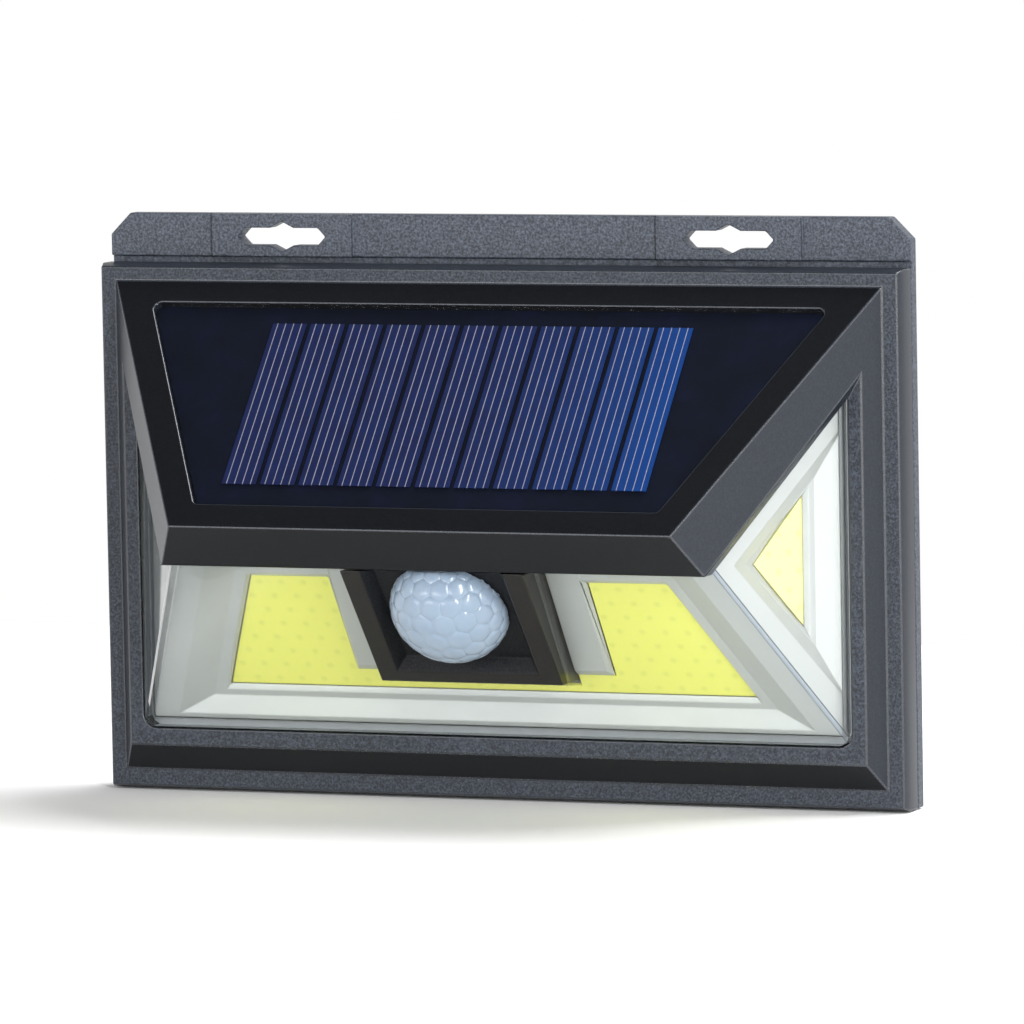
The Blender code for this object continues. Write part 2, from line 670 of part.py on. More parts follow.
def make_reflector():
    """One plated moulding behind the lens, with a stepped window in each face."""
    faces = LENS_SIDES + [LENS_FACE]
    clear = LENS_THICK + GAP
    half = LENS_X - clear
    bottom = LENS_LOW + clear
    part = trimmed_box("reflector", (-half, -RIDGE_DEPTH, bottom), (half, -LENS_BACK_DEPTH, GABLE_Z),
                       [(frame, -RIM_LEVEL) for frame in faces], "silver_plating")
    back = REFLECTOR_BACK
    combine(part, trimmed_box("reflector_hollow", (-half - 5, -RIDGE_DEPTH, bottom - 5),
                              (half + 5, 0, GABLE_Z + 5), [(frame, -back) for frame in faces]))
    outline = opening_outline(half, bottom, LENS_TUCK - GAP)
    combine(part, slab("reflector_trim", outline, 0, 75), "INTERSECT")
    cup = trapezium(CUP_LOW, CUP_LOW_X, CUP_HIGH, CUP_HIGH_X)
    step = trapezium(STEP_LOW, STEP_LOW_X, STEP_HIGH, STEP_HIGH_X)
    window = trapezium(WINDOW_LOW, WINDOW_LOW_X, WINDOW_HIGH, WINDOW_HIGH_X)
    led = trapezium(LED_LOW, LED_LOW_X, LED_HIGH, LED_HIGH_X)
    combine(part, window_cut("low_cup", LENS_FACE, cup, step, -RIM_LEVEL, -STEP_LEVEL, (0, 1)))
    combine(part, window_cut("low_window", LENS_FACE, window, led, -STEP_LEVEL, -back, (0.6, 0.2)))
    for side, face in zip((1, -1), LENS_SIDES):
        outlines = [[(side * x, z) for x, z in shape]
                    for shape in (SIDE_CUP, SIDE_STEP, SIDE_WINDOW, SIDE_LED)]
        combine(part, window_cut(f"side_cup_{side}", face, outlines[0], outlines[1],
                                 -RIM_LEVEL, -STEP_LEVEL, (0, 1)))
        combine(part, window_cut(f"side_window_{side}", face, outlines[2], outlines[3],
                                 -STEP_LEVEL, -back, (0.6, 0.2)))
    for side in (-1, 1):
        near, far = SENSOR_X - 1, ISLAND_X
        top, foot = WINDOW_HIGH + 1.5, ISLAND_LOW
        bar = [(side * near, foot), (side * far, foot), (side * far, top), (side * near, top)]
        slim = far - ISLAND_BEVEL
        upper = [(side * near, foot + ISLAND_BEVEL), (side * slim, foot + ISLAND_BEVEL),
                 (side * slim, top), (side * near, top)]
        join(part, window_cut(f"island_{side}", LENS_FACE, upper, bar, -STEP_LEVEL + 0.1, -back, (0, 0)))
    return combine(part, sensor_hole("reflector_hole"))


def make_led_areas():
    """A phosphor layer on a white board behind each window of the reflector."""
    top = -LED_LEVEL
    under = top - PHOSPHOR_THICK
    areas = [("low", LENS_FACE, led_outline(), led_outline(LED_BOARD_MARGIN))]
    for side, name, face in ((1, "right", LENS_SIDES[0]), (-1, "left", LENS_SIDES[1])):
        shape = [(side * x, z) for x, z in SIDE_LED]
        areas.append((name, face, shape, grown_triangle(shape, LED_BOARD_MARGIN)))
    for name, face, shape, board in areas:
        slab(f"led_phosphor_{name}", seen_from_front(shape, face, top), under, top, face, "phosphor")
        slab(f"led_board_{name}", seen_from_front(board, face, under), under - GAP - LED_BOARD_THICK,
             under - GAP, face, "board_white")


def grown_triangle(points, margin):
    """The triangle, with each corner moved away from its middle."""
    middle = sum((Vector(point) for point in points), Vector((0, 0))) / len(points)
    return [tuple(Vector(point) + (Vector(point) - middle).normalized() * margin) for point in points]


def make_sensor_housing():
    low = (-SENSOR_X, -70, SENSOR_LOW)
    high = (SENSOR_X, 0, EAVE_Z - GAP)
    flipped = SENSOR_FACE @ Matrix.Translation((0, 0, -SENSOR_THICK)) @ Matrix.Rotation(math.pi, 4, "X")
    housing = trimmed_box("sensor_housing", low, high, [(SENSOR_FACE, 0), (flipped, 0)], "smooth_abs")
    inner = [b - math.copysign(SENSOR_WALL, b) for b in (low[0], high[0])]
    ceiling = -RECESS_DEPTH - SENSOR_FLOOR
    combine(housing, trimmed_box("sensor_hollow", (inner[0], -70, SENSOR_LOW + SENSOR_WALL),
                                 (inner[1], 0, EAVE_Z - GAP - SENSOR_WALL), [(SENSOR_FACE, ceiling)]))
    length = (EAVE_Z - SENSOR_LOW) / math.cos(math.atan(SENSOR_RISE))
    floor_x = RECESS_X - RECESS_DRAFT
    floor = [(-floor_x, RECESS_LOW + RECESS_DRAFT), (floor_x, RECESS_LOW + RECESS_DRAFT),
             (floor_x, length + 6), (-floor_x, length + 6)]
    mouth = [(-RECESS_X, RECESS_LOW), (RECESS_X, RECESS_LOW), (RECESS_X, length + 6),
             (-RECESS_X, length + 6)]
    combine(housing, tapered("sensor_recess", SENSOR_FACE, -RECESS_DEPTH, floor, 0, mouth, (0, 2)))
    return combine(housing, rod("dome_hole", DOME_HOLE, -9, 1, dome_frame(), steps=32))


def dome_frame():
    """Frame on the floor of the recess, at the middle of the dome."""
    return SENSOR_FACE @ Matrix.Translation((0, DOME_MIDDLE, -RECESS_DEPTH))


def make_sensor_parts():
    steps = 7
    outer = []
    inner = []
    for step in range(steps + 1):
        angle = math.pi / 2 * step / steps
        outer.append((DOME_RADIUS * math.sin(angle), GAP + DOME_RISE * math.cos(angle)))
        inner.append(((DOME_RADIUS - DOME_THICK) * math.sin(angle),
                      GAP + (DOME_RISE - DOME_THICK) * math.cos(angle)))
    dome = turned("sensor_dome", outer + inner[::-1], dome_frame(), "milky_pe", steps=36)
    combine(dome, box("dome_trim", (-20, -70, EAVE_Z - GAP), (20, 0, 20)))
    level = -RECESS_DEPTH - SENSOR_FLOOR - SENSOR_BOARD_DROP
    place = SENSOR_FACE @ Matrix.Translation((0, SENSOR_CAN_MIDDLE, level + GAP))
    rod("sensor_can", SENSOR_CAN_RADIUS, 0, SENSOR_CAN_HEIGHT, place, "steel", steps=20)
    half = SENSOR_X - SENSOR_WALL - GAP
    outline = [(-half, SENSOR_BOARD_LOW), (half, SENSOR_BOARD_LOW), (half, SENSOR_BOARD_HIGH),
               (-half, SENSOR_BOARD_HIGH)]
    slab("sensor_board", outline, level - SENSOR_BOARD_THICK, level, SENSOR_FACE, "board_green")


def make_solar_panel():
    sheet_low = -0.1 - COVER_SHEET_THICK
    cell_high = sheet_low - GAP
    backing_high = cell_high - CELL_THICK - GAP
    slab("solar_cover_sheet", panel_outline(), sheet_low, -0.1, ROOF_SUN, "panel_sheet")
    slab("solar_backing", panel_outline(), backing_high - BACKING_THICK, backing_high, ROOF_SUN,
         "board_green")
    low, high = [y for _, y in seen_from_front([(0, CELL_LOW), (0, CELL_HIGH)], ROOF_SUN, 0)]
    for index in range(CELL_COUNT):
        middle = (index - (CELL_COUNT - 1) / 2) * CELL_PITCH
        half = CELL_WIDTH / 2
        strip = [(middle - half, low), (middle + half, low), (middle + half, high), (middle - half, high)]
        slab(f"solar_cell_{index + 1:02d}", strip, cell_high - CELL_THICK, cell_high, ROOF_SUN,
             "cell_blue")


def make_control_board():
    outline = [(-BOARD_X, BOARD_LOW), (BOARD_X, BOARD_LOW), (BOARD_X, BOARD_HIGH), (-BOARD_X, BOARD_HIGH)]
    front = BOARD_DEPTH + BOARD_THICK
    board = slab("control_board", outline, BOARD_DEPTH, front, finish="board_green")
    for side in (-1, 1):
        place = at(side * BOARD_POST_X, BOARD_POST_Z)
        combine(board, rod(f"board_hole_{side}", SHANK_HOLE, BOARD_DEPTH - 1, front + 1, place))
        make_screw(f"board_screw_{'left' if side < 0 else 'right'}", place, front + GAP, -1)
    base = front + GAP
    rod("driver_inductor", 4.0, base, base + 4.5, at(22, -12), "steel", steps=20)
    turned("driver_capacitor", [(0, base + 7), (3.0, base + 7), (3.2, base + 6.6), (3.2, base), (0, base)],
           at(12, -13), "rubber_black", steps=20)
    for name, x, z, wide, tall, high, finish in (
            ("driver_chip", 2, -20, 5, 4, 1.6, "rubber_black"),
            ("battery_connector", -30, -8, 7.5, 5, 5.5, "nylon_white"),
            ("solar_connector", 31, -16, 5, 7.5, 5.5, "nylon_white")):
        box(name, (x - wide / 2, -base - high, z - tall / 2), (x + wide / 2, -base, z + tall / 2), finish)


def make_switch():
    """Push switch on the back of the board, its plunger and the rubber button."""
    top = BOARD_DEPTH - GAP
    half = SWITCH_SIZE / 2
    place = at(BUTTON_X, BUTTON_Z)
    back = top - SWITCH_HEIGHT
    body = box("switch_body", (BUTTON_X - half, -top, BUTTON_Z - half),
               (BUTTON_X + half, -back, BUTTON_Z + half), "nylon_white")
    combine(body, rod("switch_bore", PLUNGER_RADIUS + GAP, back - 1, top - 0.6, place))
    button_front = COVER_THICK + GAP + BUTTON_COLLAR_THICK
    plunger_back = button_front + GAP
    plunger_front = top - 0.6 - GAP - BUTTON_TRAVEL
    rod("switch_plunger", PLUNGER_RADIUS, plunger_back, plunger_front, place, "nylon_white", steps=20)
    collar_back = COVER_THICK + GAP
    turned("mode_button", [(0, button_front), (BUTTON_COLLAR, button_front), (BUTTON_COLLAR, collar_back),
                           (BUTTON_RADIUS, collar_back), (BUTTON_RADIUS, BUTTON_RECESS + 0.7),
                           (BUTTON_RADIUS - 0.7, BUTTON_RECESS), (0, BUTTON_RECESS)],
           place, "rubber_black", steps=32)


def make_battery():
    along = Matrix.Translation((0, -CELL_DEPTH, CELL_Z)) @ Matrix.Rotation(math.pi / 2, 4, "Y")
    half = CELL_LENGTH / 2
    turned("battery_cell", [(0, half), (CELL_RADIUS - 3.2, half), (CELL_RADIUS - 3.2, half - 1.2),
                            (CELL_RADIUS - 0.5, half - 1.2), (CELL_RADIUS, half - 1.8),
                            (CELL_RADIUS, -half + 0.5), (CELL_RADIUS - 0.5, -half), (0, -half)],
           along, "battery_wrap", steps=28)
    room = half + 2 * GAP + CONTACT_THICK
    outside = room + HOLDER_WALL
    reach = CELL_RADIUS + GAP + HOLDER_WALL
    holder = box("battery_holder", (-outside, -CELL_DEPTH, CELL_Z - reach),
                 (outside, -CELL_DEPTH + reach, CELL_Z + reach), "nylon_white")
    for side in (-1, 1):
        foot_x = side * (outside - 6)
        join(holder, box(f"holder_foot_{side}", (foot_x - 5, -CELL_DEPTH + reach - 1, CELL_Z - 5),
                         (foot_x + 5, -COVER_THICK - GAP, CELL_Z + 5)))
        plate = side * (half + GAP + CONTACT_THICK / 2)
        box(f"battery_contact_{'left' if side < 0 else 'right'}",
            (plate - CONTACT_THICK / 2, -CELL_DEPTH + 0.5, CELL_Z - 6),
            (plate + CONTACT_THICK / 2, -CELL_DEPTH + 7.5, CELL_Z + 6), "steel")
    bore = rod("holder_bore", CELL_RADIUS + GAP, -room, room, along, steps=28)
    combine(holder, bore)
    return combine(holder, box("holder_mouth", (-room, -CELL_DEPTH - 1, CELL_Z - 8),
                               (room, -CELL_DEPTH + 8, CELL_Z + 8)))


def make_screw(name, place, seat, way=1):
    """A pan-head screw whose head starts at a depth and whose shank runs forward
    from it, or back towards the cover when way is -1."""
    if way > 0:
        profile = [(0, seat + SCREW_LENGTH), (SHANK_RADIUS, seat + SCREW_LENGTH - 0.8),
                   (SHANK_RADIUS, seat + HEAD_HEIGHT), (HEAD_RADIUS, seat + HEAD_HEIGHT),
                   (HEAD_RADIUS, seat + 0.4), (HEAD_RADIUS - 0.5, seat), (0, seat)]
    else:
        profile = [(0, seat + HEAD_HEIGHT), (HEAD_RADIUS - 0.5, seat + HEAD_HEIGHT),
                   (HEAD_RADIUS, seat + HEAD_HEIGHT - 0.4), (HEAD_RADIUS, seat), (SHANK_RADIUS, seat),
                   (SHANK_RADIUS, seat - BOARD_SCREW_REACH), (0, seat - BOARD_SCREW_REACH - 0.8)]
    return turned(name, profile, place, "steel", steps=16)


def make_rear_screws():
    for index, (x, z) in enumerate(boss_places()):
        make_screw(f"rear_screw_{index + 1}", at(x, z), HEAD_SINK)


def make_leads():
    """Wires between the board and the other electric parts, given by hand as
    (x, depth, z) points that keep clear of every other piece."""
    routes = {
        "battery_lead_red": ("lead_red", [(36.2, 19.5, 9), (38.5, 17, 2), (30, 13, -1.2), (0, 12.6, -0.9),
                                          (-24, 13, -1.8), (-28.5, 13.6, -4.5)]),
        "battery_lead_black": ("lead_black", [(-36.2, 19.5, 10), (-38.5, 18, 4), (-36, 14.5, -1.5),
                                              (-31.5, 13.6, -4.5)]),
        "solar_lead": ("lead_red", [(30, 21.5, 31.9), (30, 17.5, 28.1), (36, 15, 25), (45, 17, 12),
                                    (44, 18, -2), (37, 17, -9), (31.5, 14, -11.3)]),
        "sensor_lead": ("lead_black", [(-6, 28.1, -18.9), (-7, 24, -16.6), (-8, 18, -14.6),
                                       (-8.5, 13.5, -14), (-8.5, 11.6, -14)]),
        "led_lead_low": ("lead_red", [(40, 20.4, -25), (40, 16, -24), (37, 12.8, -23), (33.5, 11.7, -22.5)]),
        "led_lead_right": ("lead_red", [(70.5, 15.2, -9), (62, 12.6, -8), (48, 12, -6.8), (38, 12.4, -6.3),
                                        (33.2, 11.7, -6.8)]),
        "led_lead_left": ("lead_black", [(-70.5, 15.2, -9), (-62, 12.6, -9), (-48, 12, -12),
                                         (-38.5, 12.4, -13.6), (-33.5, 11.7, -14)]),
    }
    for name, (finish, points) in routes.items():
        lead(name, [(x, -depth, z) for x, depth, z in points], finish)


def main():
    make_rear_cover()
    make_rear_gasket()
    make_front_housing()
    make_lens()
    make_reflector()
    make_led_areas()
    make_sensor_housing()
    make_sensor_parts()
    make_solar_panel()
    make_control_board()
    make_switch()
    make_battery()
    make_rear_screws()
    make_leads()


clear_scene()
PARTS = collection("solar_flood_light")
CUTTERS = collection("cutters")
main()
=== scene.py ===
"""Solar flood light: the finished look of a wall lamp with a hip-roof body.

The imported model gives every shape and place. This script puts moulding radii,
small details, finishes, a floor, lights and a camera on it. Lengths are in
metres unless a name ends in _mm.
"""

import math

import bmesh
import bpy
from bpy.props import FloatProperty, FloatVectorProperty, IntProperty, PointerProperty
from mathutils import Matrix, Vector


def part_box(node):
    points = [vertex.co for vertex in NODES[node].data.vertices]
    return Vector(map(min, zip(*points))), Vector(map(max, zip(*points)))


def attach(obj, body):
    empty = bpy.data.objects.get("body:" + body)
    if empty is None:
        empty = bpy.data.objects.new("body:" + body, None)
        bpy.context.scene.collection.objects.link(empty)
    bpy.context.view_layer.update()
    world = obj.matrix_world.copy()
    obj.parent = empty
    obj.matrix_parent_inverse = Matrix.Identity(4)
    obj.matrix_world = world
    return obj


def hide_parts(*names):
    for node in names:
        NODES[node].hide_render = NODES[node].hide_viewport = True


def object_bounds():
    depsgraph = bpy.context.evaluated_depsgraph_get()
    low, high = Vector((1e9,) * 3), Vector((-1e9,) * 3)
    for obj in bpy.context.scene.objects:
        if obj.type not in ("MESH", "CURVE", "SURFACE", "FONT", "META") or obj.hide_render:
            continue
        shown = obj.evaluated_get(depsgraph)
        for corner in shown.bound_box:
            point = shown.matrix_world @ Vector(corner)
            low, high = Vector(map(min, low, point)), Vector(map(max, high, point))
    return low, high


bl_info = {
    "name": "Solar flood light",
    "version": (1, 0, 0),
    "blender": (4, 5, 0),
    "location": "View3D > Sidebar > Flood light",
    "description": "Builds the finished pieces of a solar flood light round its packed model",
    "category": "Object",
}

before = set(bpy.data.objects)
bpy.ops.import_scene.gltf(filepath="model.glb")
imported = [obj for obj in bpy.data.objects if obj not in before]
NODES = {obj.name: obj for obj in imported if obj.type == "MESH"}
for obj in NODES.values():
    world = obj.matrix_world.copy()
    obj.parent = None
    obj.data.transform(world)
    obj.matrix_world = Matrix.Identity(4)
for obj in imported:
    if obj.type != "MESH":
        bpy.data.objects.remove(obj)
CAD_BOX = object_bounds()

MM = 0.001
FIXED, PRESSED = "body", "button"

FLAT = 0.98                         # a face counts as square to an axis past this
# The last housing finish, on the moulding radii, is lighter and glossier than the faces: a painted
# highlight along every edge.
SLATE, SATIN, BLACK, EDGE_HIGHLIGHT = range(4)            # finishes of the front housing
# Among the lens finishes, the facet line is painted shade and the wall is painted light.
FACET, FACET_SHADE_LINE, PAINTED_LIGHT_WALL = 1, 2, 3   # finishes of the lens, after its clear one
# The sensor recess's finish is a painted shade, darker than the frame.
RECESS_SHADE = 1                          # finish of the sensor's recess, after its frame's
LINE_LIFT = 0.15                    # a contact line stands this share of the cell proud
CROSS_SHARE = 1.1                   # the screwdriver cross, as a share of the head
RIM_SHARE = 0.82                    # top of a screw head, as a share of its foot
SHANK_SHARE = 0.4                   # shank of a screw, as a share of its head
BUTTON_PROFILE = ((0, -0.35), (1.6, -0.3), (2.6, -0.12), (3.0, 0.0), (3.5, 0.0),
                  (3.8, -0.2))      # radius and level of the dimple and rim, in mm
BUTTON_COLLAR, BUTTON_BRIM = 1.8, 0.8           # width and height of its collar, in mm

FLOOR_DROP, FLOOR_HALF, FLOOR_MIDDLE = 0.3 * MM, 1.0, -0.7     # height, half side and Y
CAMERA_TURN = (22.0, 5.388, -1.062)             # yaw, pitch and roll in degrees
CAMERA_TARGET = (7.45, -20.0, 0.53)             # in mm
CAMERA_DISTANCE, CAMERA_LENS = 1.919, 314.35    # in metres; focal length in mm
LIGHTS = (                          # place, aim, width and height in metres, watts
    ("edge_light", (0.92, -1.05, 0.5), (0, 0, 0), 0.14, 1.0, 14.0),
    ("front_light", (-0.6, -1.5, 0.0), (0, 0, -0.02), 1.0, 0.7, 7.0),
    ("side_light", (1.35, -0.3, 0.1), (0, 0, 0), 0.5, 0.9, 2.6),
    ("low_light", (0.0, -0.9, -0.045), (0, 0, 0), 1.2, 0.25, 1.6),
    ("top_light", (0.5, 0.45, 1.35), (0, -0.1, -0.06), 1.3, 1.0, 30.0))


# ------------------------------------------------------------ colours and nodes

def linear(code):
    """Linear red, green and blue of an sRGB hex colour such as #3a3f4a."""
    shares = [int(code[i:i + 2], 16) / 255 for i in (1, 3, 5)]
    return [s / 12.92 if s <= 0.04045 else ((s + 0.055) / 1.055) ** 2.4 for s in shares]


def add_node(tree, kind, inputs=None, **settings):
    """Add a node, set its properties, and set or link its inputs."""
    node = tree.nodes.new(kind)
    for name, value in settings.items():
        setattr(node, name, value)
    for name, value in (inputs or {}).items():
        if isinstance(value, bpy.types.NodeSocket):
            tree.links.new(value, node.inputs[name])
        else:
            node.inputs[name].default_value = value
    return node


def new_material(name):
    """An empty material, its node tree and its object coordinates."""
    made = bpy.data.materials.new(name)
    made.use_nodes = True
    made.node_tree.nodes.clear()
    where = add_node(made.node_tree, "ShaderNodeTexCoord").outputs["Object"]
    return made, made.node_tree, where


def surface(tree, shader):
    """End the tree in this shader."""
    add_node(tree, "ShaderNodeOutputMaterial", {"Surface": shader.outputs[0]})


def full(colour):
    """The colour with full opacity."""
    return (*colour[:3], 1.0)


# --------------------------------------------------------------------- finishes

def moulded_plastic(name, colour, fleck, grain_mm, relief_mm, roughness, fleck_share=0.5,
                    shine=0.5):
    """ABS as it leaves the mould. The tool's grain gives the relief. Flecks paler than the base
    are painted glints of light on that grain, and darker ones are a grain tone. Slow changes of
    gloss give the eye a large surface's slight unevenness."""
    made, tree, where = new_material(name)
    grain = add_node(tree, "ShaderNodeTexNoise", {
        "Vector": where, "Scale": 1000 / grain_mm, "Detail": 3.0, "Roughness": 0.65})
    cloud = add_node(tree, "ShaderNodeTexNoise", {"Vector": where, "Scale": 28.0, "Detail": 2.0})
    # Fleck colour follows the grain: paler flecks are painted glints of light, darker ones a grain
    # tone.
    share = add_node(tree, "ShaderNodeMapRange", {
        "Value": grain.outputs["Fac"], "From Min": 0.4, "From Max": 0.72, "To Max": fleck_share})
    tint = add_node(tree, "ShaderNodeMix", {
        "Factor": share.outputs[0], 6: full(colour), 7: full(fleck)}, data_type="RGBA")
    gloss = add_node(tree, "ShaderNodeMapRange", {
        "Value": cloud.outputs["Fac"], "To Min": roughness - 0.05, "To Max": roughness + 0.05})
    relief = add_node(tree, "ShaderNodeBump", {
        "Height": grain.outputs["Fac"], "Strength": 1.0, "Distance": relief_mm * MM})
    surface(tree, add_node(tree, "ShaderNodeBsdfPrincipled", {
        "Base Color": tint.outputs[2], "Roughness": gloss.outputs[0],
        "Normal": relief.outputs[0], "Specular IOR Level": shine}))
    return made


def clear_pane(name, tint, mirror, roughness=0.04):
    """A thin clear wall: most light goes straight through, and grazing light is
    mirrored, which is how polished polycarbonate or coated resin shows itself."""
    made, tree, where = new_material(name)
    haze = add_node(tree, "ShaderNodeTexNoise", {"Vector": where, "Scale": 35.0, "Detail": 1.0})
    gloss = add_node(tree, "ShaderNodeMapRange", {
        "Value": haze.outputs["Fac"], "To Min": roughness, "To Max": roughness * 2})
    skin = add_node(tree, "ShaderNodeBsdfGlossy", {
        "Color": (1.0, 1.0, 1.0, 1.0), "Roughness": gloss.outputs[0]})
    through = add_node(tree, "ShaderNodeBsdfTransparent", {"Color": full(tint)})
    facing = add_node(tree, "ShaderNodeLayerWeight", {"Blend": 0.5})
    graze = add_node(tree, "ShaderNodeMath", {
        0: facing.outputs["Facing"], 1: 5.0}, operation="POWER")
    share = add_node(tree, "ShaderNodeMath", {
        0: graze.outputs[0], 1: mirror, 2: mirror * 0.04}, operation="MULTIPLY_ADD",
        use_clamp=True)
    surface(tree, add_node(tree, "ShaderNodeMixShader", {
        0: share.outputs[0], 1: through.outputs[0], 2: skin.outputs[0]}))
    return made


def plated_plastic(name, colour, roughness):
    """ABS with a vacuum-metallised skin: a bright, slightly milky mirror whose
    slow ripple bends what it reflects."""
    made, tree, where = new_material(name)
    ripple = add_node(tree, "ShaderNodeTexNoise", {"Vector": where, "Scale": 45.0, "Detail": 1.0})
    gloss = add_node(tree, "ShaderNodeMapRange", {
        "Value": ripple.outputs["Fac"], "To Min": roughness - 0.04, "To Max": roughness + 0.04})
    relief = add_node(tree, "ShaderNodeBump", {
        "Height": ripple.outputs["Fac"], "Strength": 0.5, "Distance": 0.05 * MM})
    surface(tree, add_node(tree, "ShaderNodeBsdfPrincipled", {
        "Base Color": full(colour), "Metallic": 0.3, "Roughness": gloss.outputs[0],
        "Normal": relief.outputs[0]}))
    return made


def phosphor(name, colour, dot_colour, place, look):
    """Silicone filled with phosphor over rows of small chips. Each chip shows as a faint darker
    dot, in staggered rows. A weak emission in the phosphor's own colour is a painted glow."""
    made, tree, where = new_material(name)
    flat = add_node(tree, "ShaderNodeMapping", {
        "Vector": where, "Location": place.translation, "Rotation": place.to_euler()},
        vector_type="TEXTURE")
    pitch = (look.chip_column, look.chip_row, 1.0)
    cells = add_node(tree, "ShaderNodeVectorMath", {
        0: flat.outputs[0], 1: pitch}, operation="DIVIDE")
    parts = add_node(tree, "ShaderNodeSeparateXYZ", {0: cells.outputs[0]})
    row = add_node(tree, "ShaderNodeMath", {0: parts.outputs["Y"]}, operation="FLOOR")
    along = add_node(tree, "ShaderNodeMath", {
        0: row.outputs[0], 1: 0.5, 2: parts.outputs["X"]}, operation="MULTIPLY_ADD")
    shares = [add_node(tree, "ShaderNodeMath", {0: value}, operation="FRACT").outputs[0]
              for value in (along.outputs[0], parts.outputs["Y"])]
    spot = add_node(tree, "ShaderNodeCombineXYZ", {"X": shares[0], "Y": shares[1]})
    centred = add_node(tree, "ShaderNodeVectorMath", {
        0: spot.outputs[0], 1: (0.5, 0.5, 0.0)}, operation="SUBTRACT")
    sized = add_node(tree, "ShaderNodeVectorMath", {
        0: centred.outputs[0], 1: pitch}, operation="MULTIPLY")
    reach = add_node(tree, "ShaderNodeVectorMath", {0: sized.outputs[0]}, operation="LENGTH")
    dot = add_node(tree, "ShaderNodeMapRange", {
        "Value": reach.outputs["Value"], "From Min": look.chip_dot * 0.35,
        "From Max": look.chip_dot, "To Min": 0.4, "To Max": 0.0},
        interpolation_type="SMOOTHSTEP")
    cloud = add_node(tree, "ShaderNodeTexNoise", {"Vector": where, "Scale": 120.0, "Detail": 3.0})
    amount = add_node(tree, "ShaderNodeMath", {
        0: cloud.outputs["Fac"], 1: 0.16, 2: dot.outputs[0]}, operation="MULTIPLY_ADD",
        use_clamp=True)
    tint = add_node(tree, "ShaderNodeMix", {
        "Factor": amount.outputs[0], 6: full(colour), 7: full(dot_colour)}, data_type="RGBA")
    # Painted glow: emission in the phosphor's own colour.
    surface(tree, add_node(tree, "ShaderNodeBsdfPrincipled", {
        "Base Color": tint.outputs[2], "Roughness": 0.5,
        "Emission Color": full(colour), "Emission Strength": look.painted_glow}))
    return made


def silicon(name, dark, bright, low_x, high_x):
    """Coated silicon: dark blue, with crystal patches and a brighter far end."""
    made, tree, where = new_material(name)
    parts = add_node(tree, "ShaderNodeSeparateXYZ", {0: where})
    along = add_node(tree, "ShaderNodeMapRange", {
        "Value": parts.outputs["X"], "From Min": low_x, "From Max": high_x})
    late = add_node(tree, "ShaderNodeMath", {0: along.outputs[0], 1: 5.0}, operation="POWER")
    crystal = add_node(tree, "ShaderNodeTexVoronoi", {"Vector": where, "Scale": 260.0})
    patch = add_node(tree, "ShaderNodeMapRange", {
        "Value": crystal.outputs["Distance"], "To Max": 0.16})
    amount = add_node(tree, "ShaderNodeMath", {
        0: late.outputs[0], 1: patch.outputs[0]}, operation="ADD", use_clamp=True)
    tint = add_node(tree, "ShaderNodeMix", {
        "Factor": amount.outputs[0], 6: full(dark), 7: full(bright)}, data_type="RGBA")
    surface(tree, add_node(tree, "ShaderNodeBsdfPrincipled", {
        "Base Color": tint.outputs[2], "Roughness": 0.5, "Specular IOR Level": 0.2}))
    return made


def moulded_rubber(name, colour):
    """Silicone rubber: matt, with a faint powdery grain."""
    made, tree, where = new_material(name)
    grain = add_node(tree, "ShaderNodeTexNoise", {"Vector": where, "Scale": 2400.0, "Detail": 2.0})
    relief = add_node(tree, "ShaderNodeBump", {
        "Height": grain.outputs["Fac"], "Distance": 0.02 * MM, "Strength": 0.8})
    tone = add_node(tree, "ShaderNodeMix", {
        "Factor": grain.outputs["Fac"], 6: full(colour), 7: full([c * 1.9 for c in colour])},
        data_type="RGBA")
    surface(tree, add_node(tree, "ShaderNodeBsdfPrincipled", {
        "Base Color": tone.outputs[2], "Roughness": 0.75, "Normal": relief.outputs[0]}))
    return made


def plated_steel(name, colour):
    """Zinc-plated steel: a soft metal shine with fine scratches."""
    made, tree, where = new_material(name)
    drawn = add_node(tree, "ShaderNodeMapping", {
        "Vector": where, "Scale": (300.0, 6000.0, 6000.0)})
    marks = add_node(tree, "ShaderNodeTexNoise", {
        "Vector": drawn.outputs[0], "Scale": 1.0, "Detail": 3.0})
    gloss = add_node(tree, "ShaderNodeMapRange", {
        "Value": marks.outputs["Fac"], "To Min": 0.22, "To Max": 0.42})
    surface(tree, add_node(tree, "ShaderNodeBsdfPrincipled", {
        "Base Color": full(colour), "Metallic": 1.0, "Roughness": gloss.outputs[0]}))
    return made


def circuit_board(name, mask, track):
    """Glass-epoxy board under solder mask, with copper tracks showing through."""
    made, tree, where = new_material(name)
    tracks = add_node(tree, "ShaderNodeTexBrick", {
        "Vector": where, "Scale": 90.0, "Mortar Size": 0.06, "Color1": full(mask),
        "Color2": full(mask), "Mortar": full(track)})
    weave = add_node(tree, "ShaderNodeTexNoise", {"Vector": where, "Scale": 900.0})
    gloss = add_node(tree, "ShaderNodeMapRange", {
        "Value": weave.outputs["Fac"], "To Min": 0.28, "To Max": 0.42})
    surface(tree, add_node(tree, "ShaderNodeBsdfPrincipled", {
        "Base Color": tracks.outputs["Color"], "Roughness": gloss.outputs[0]}))
    return made


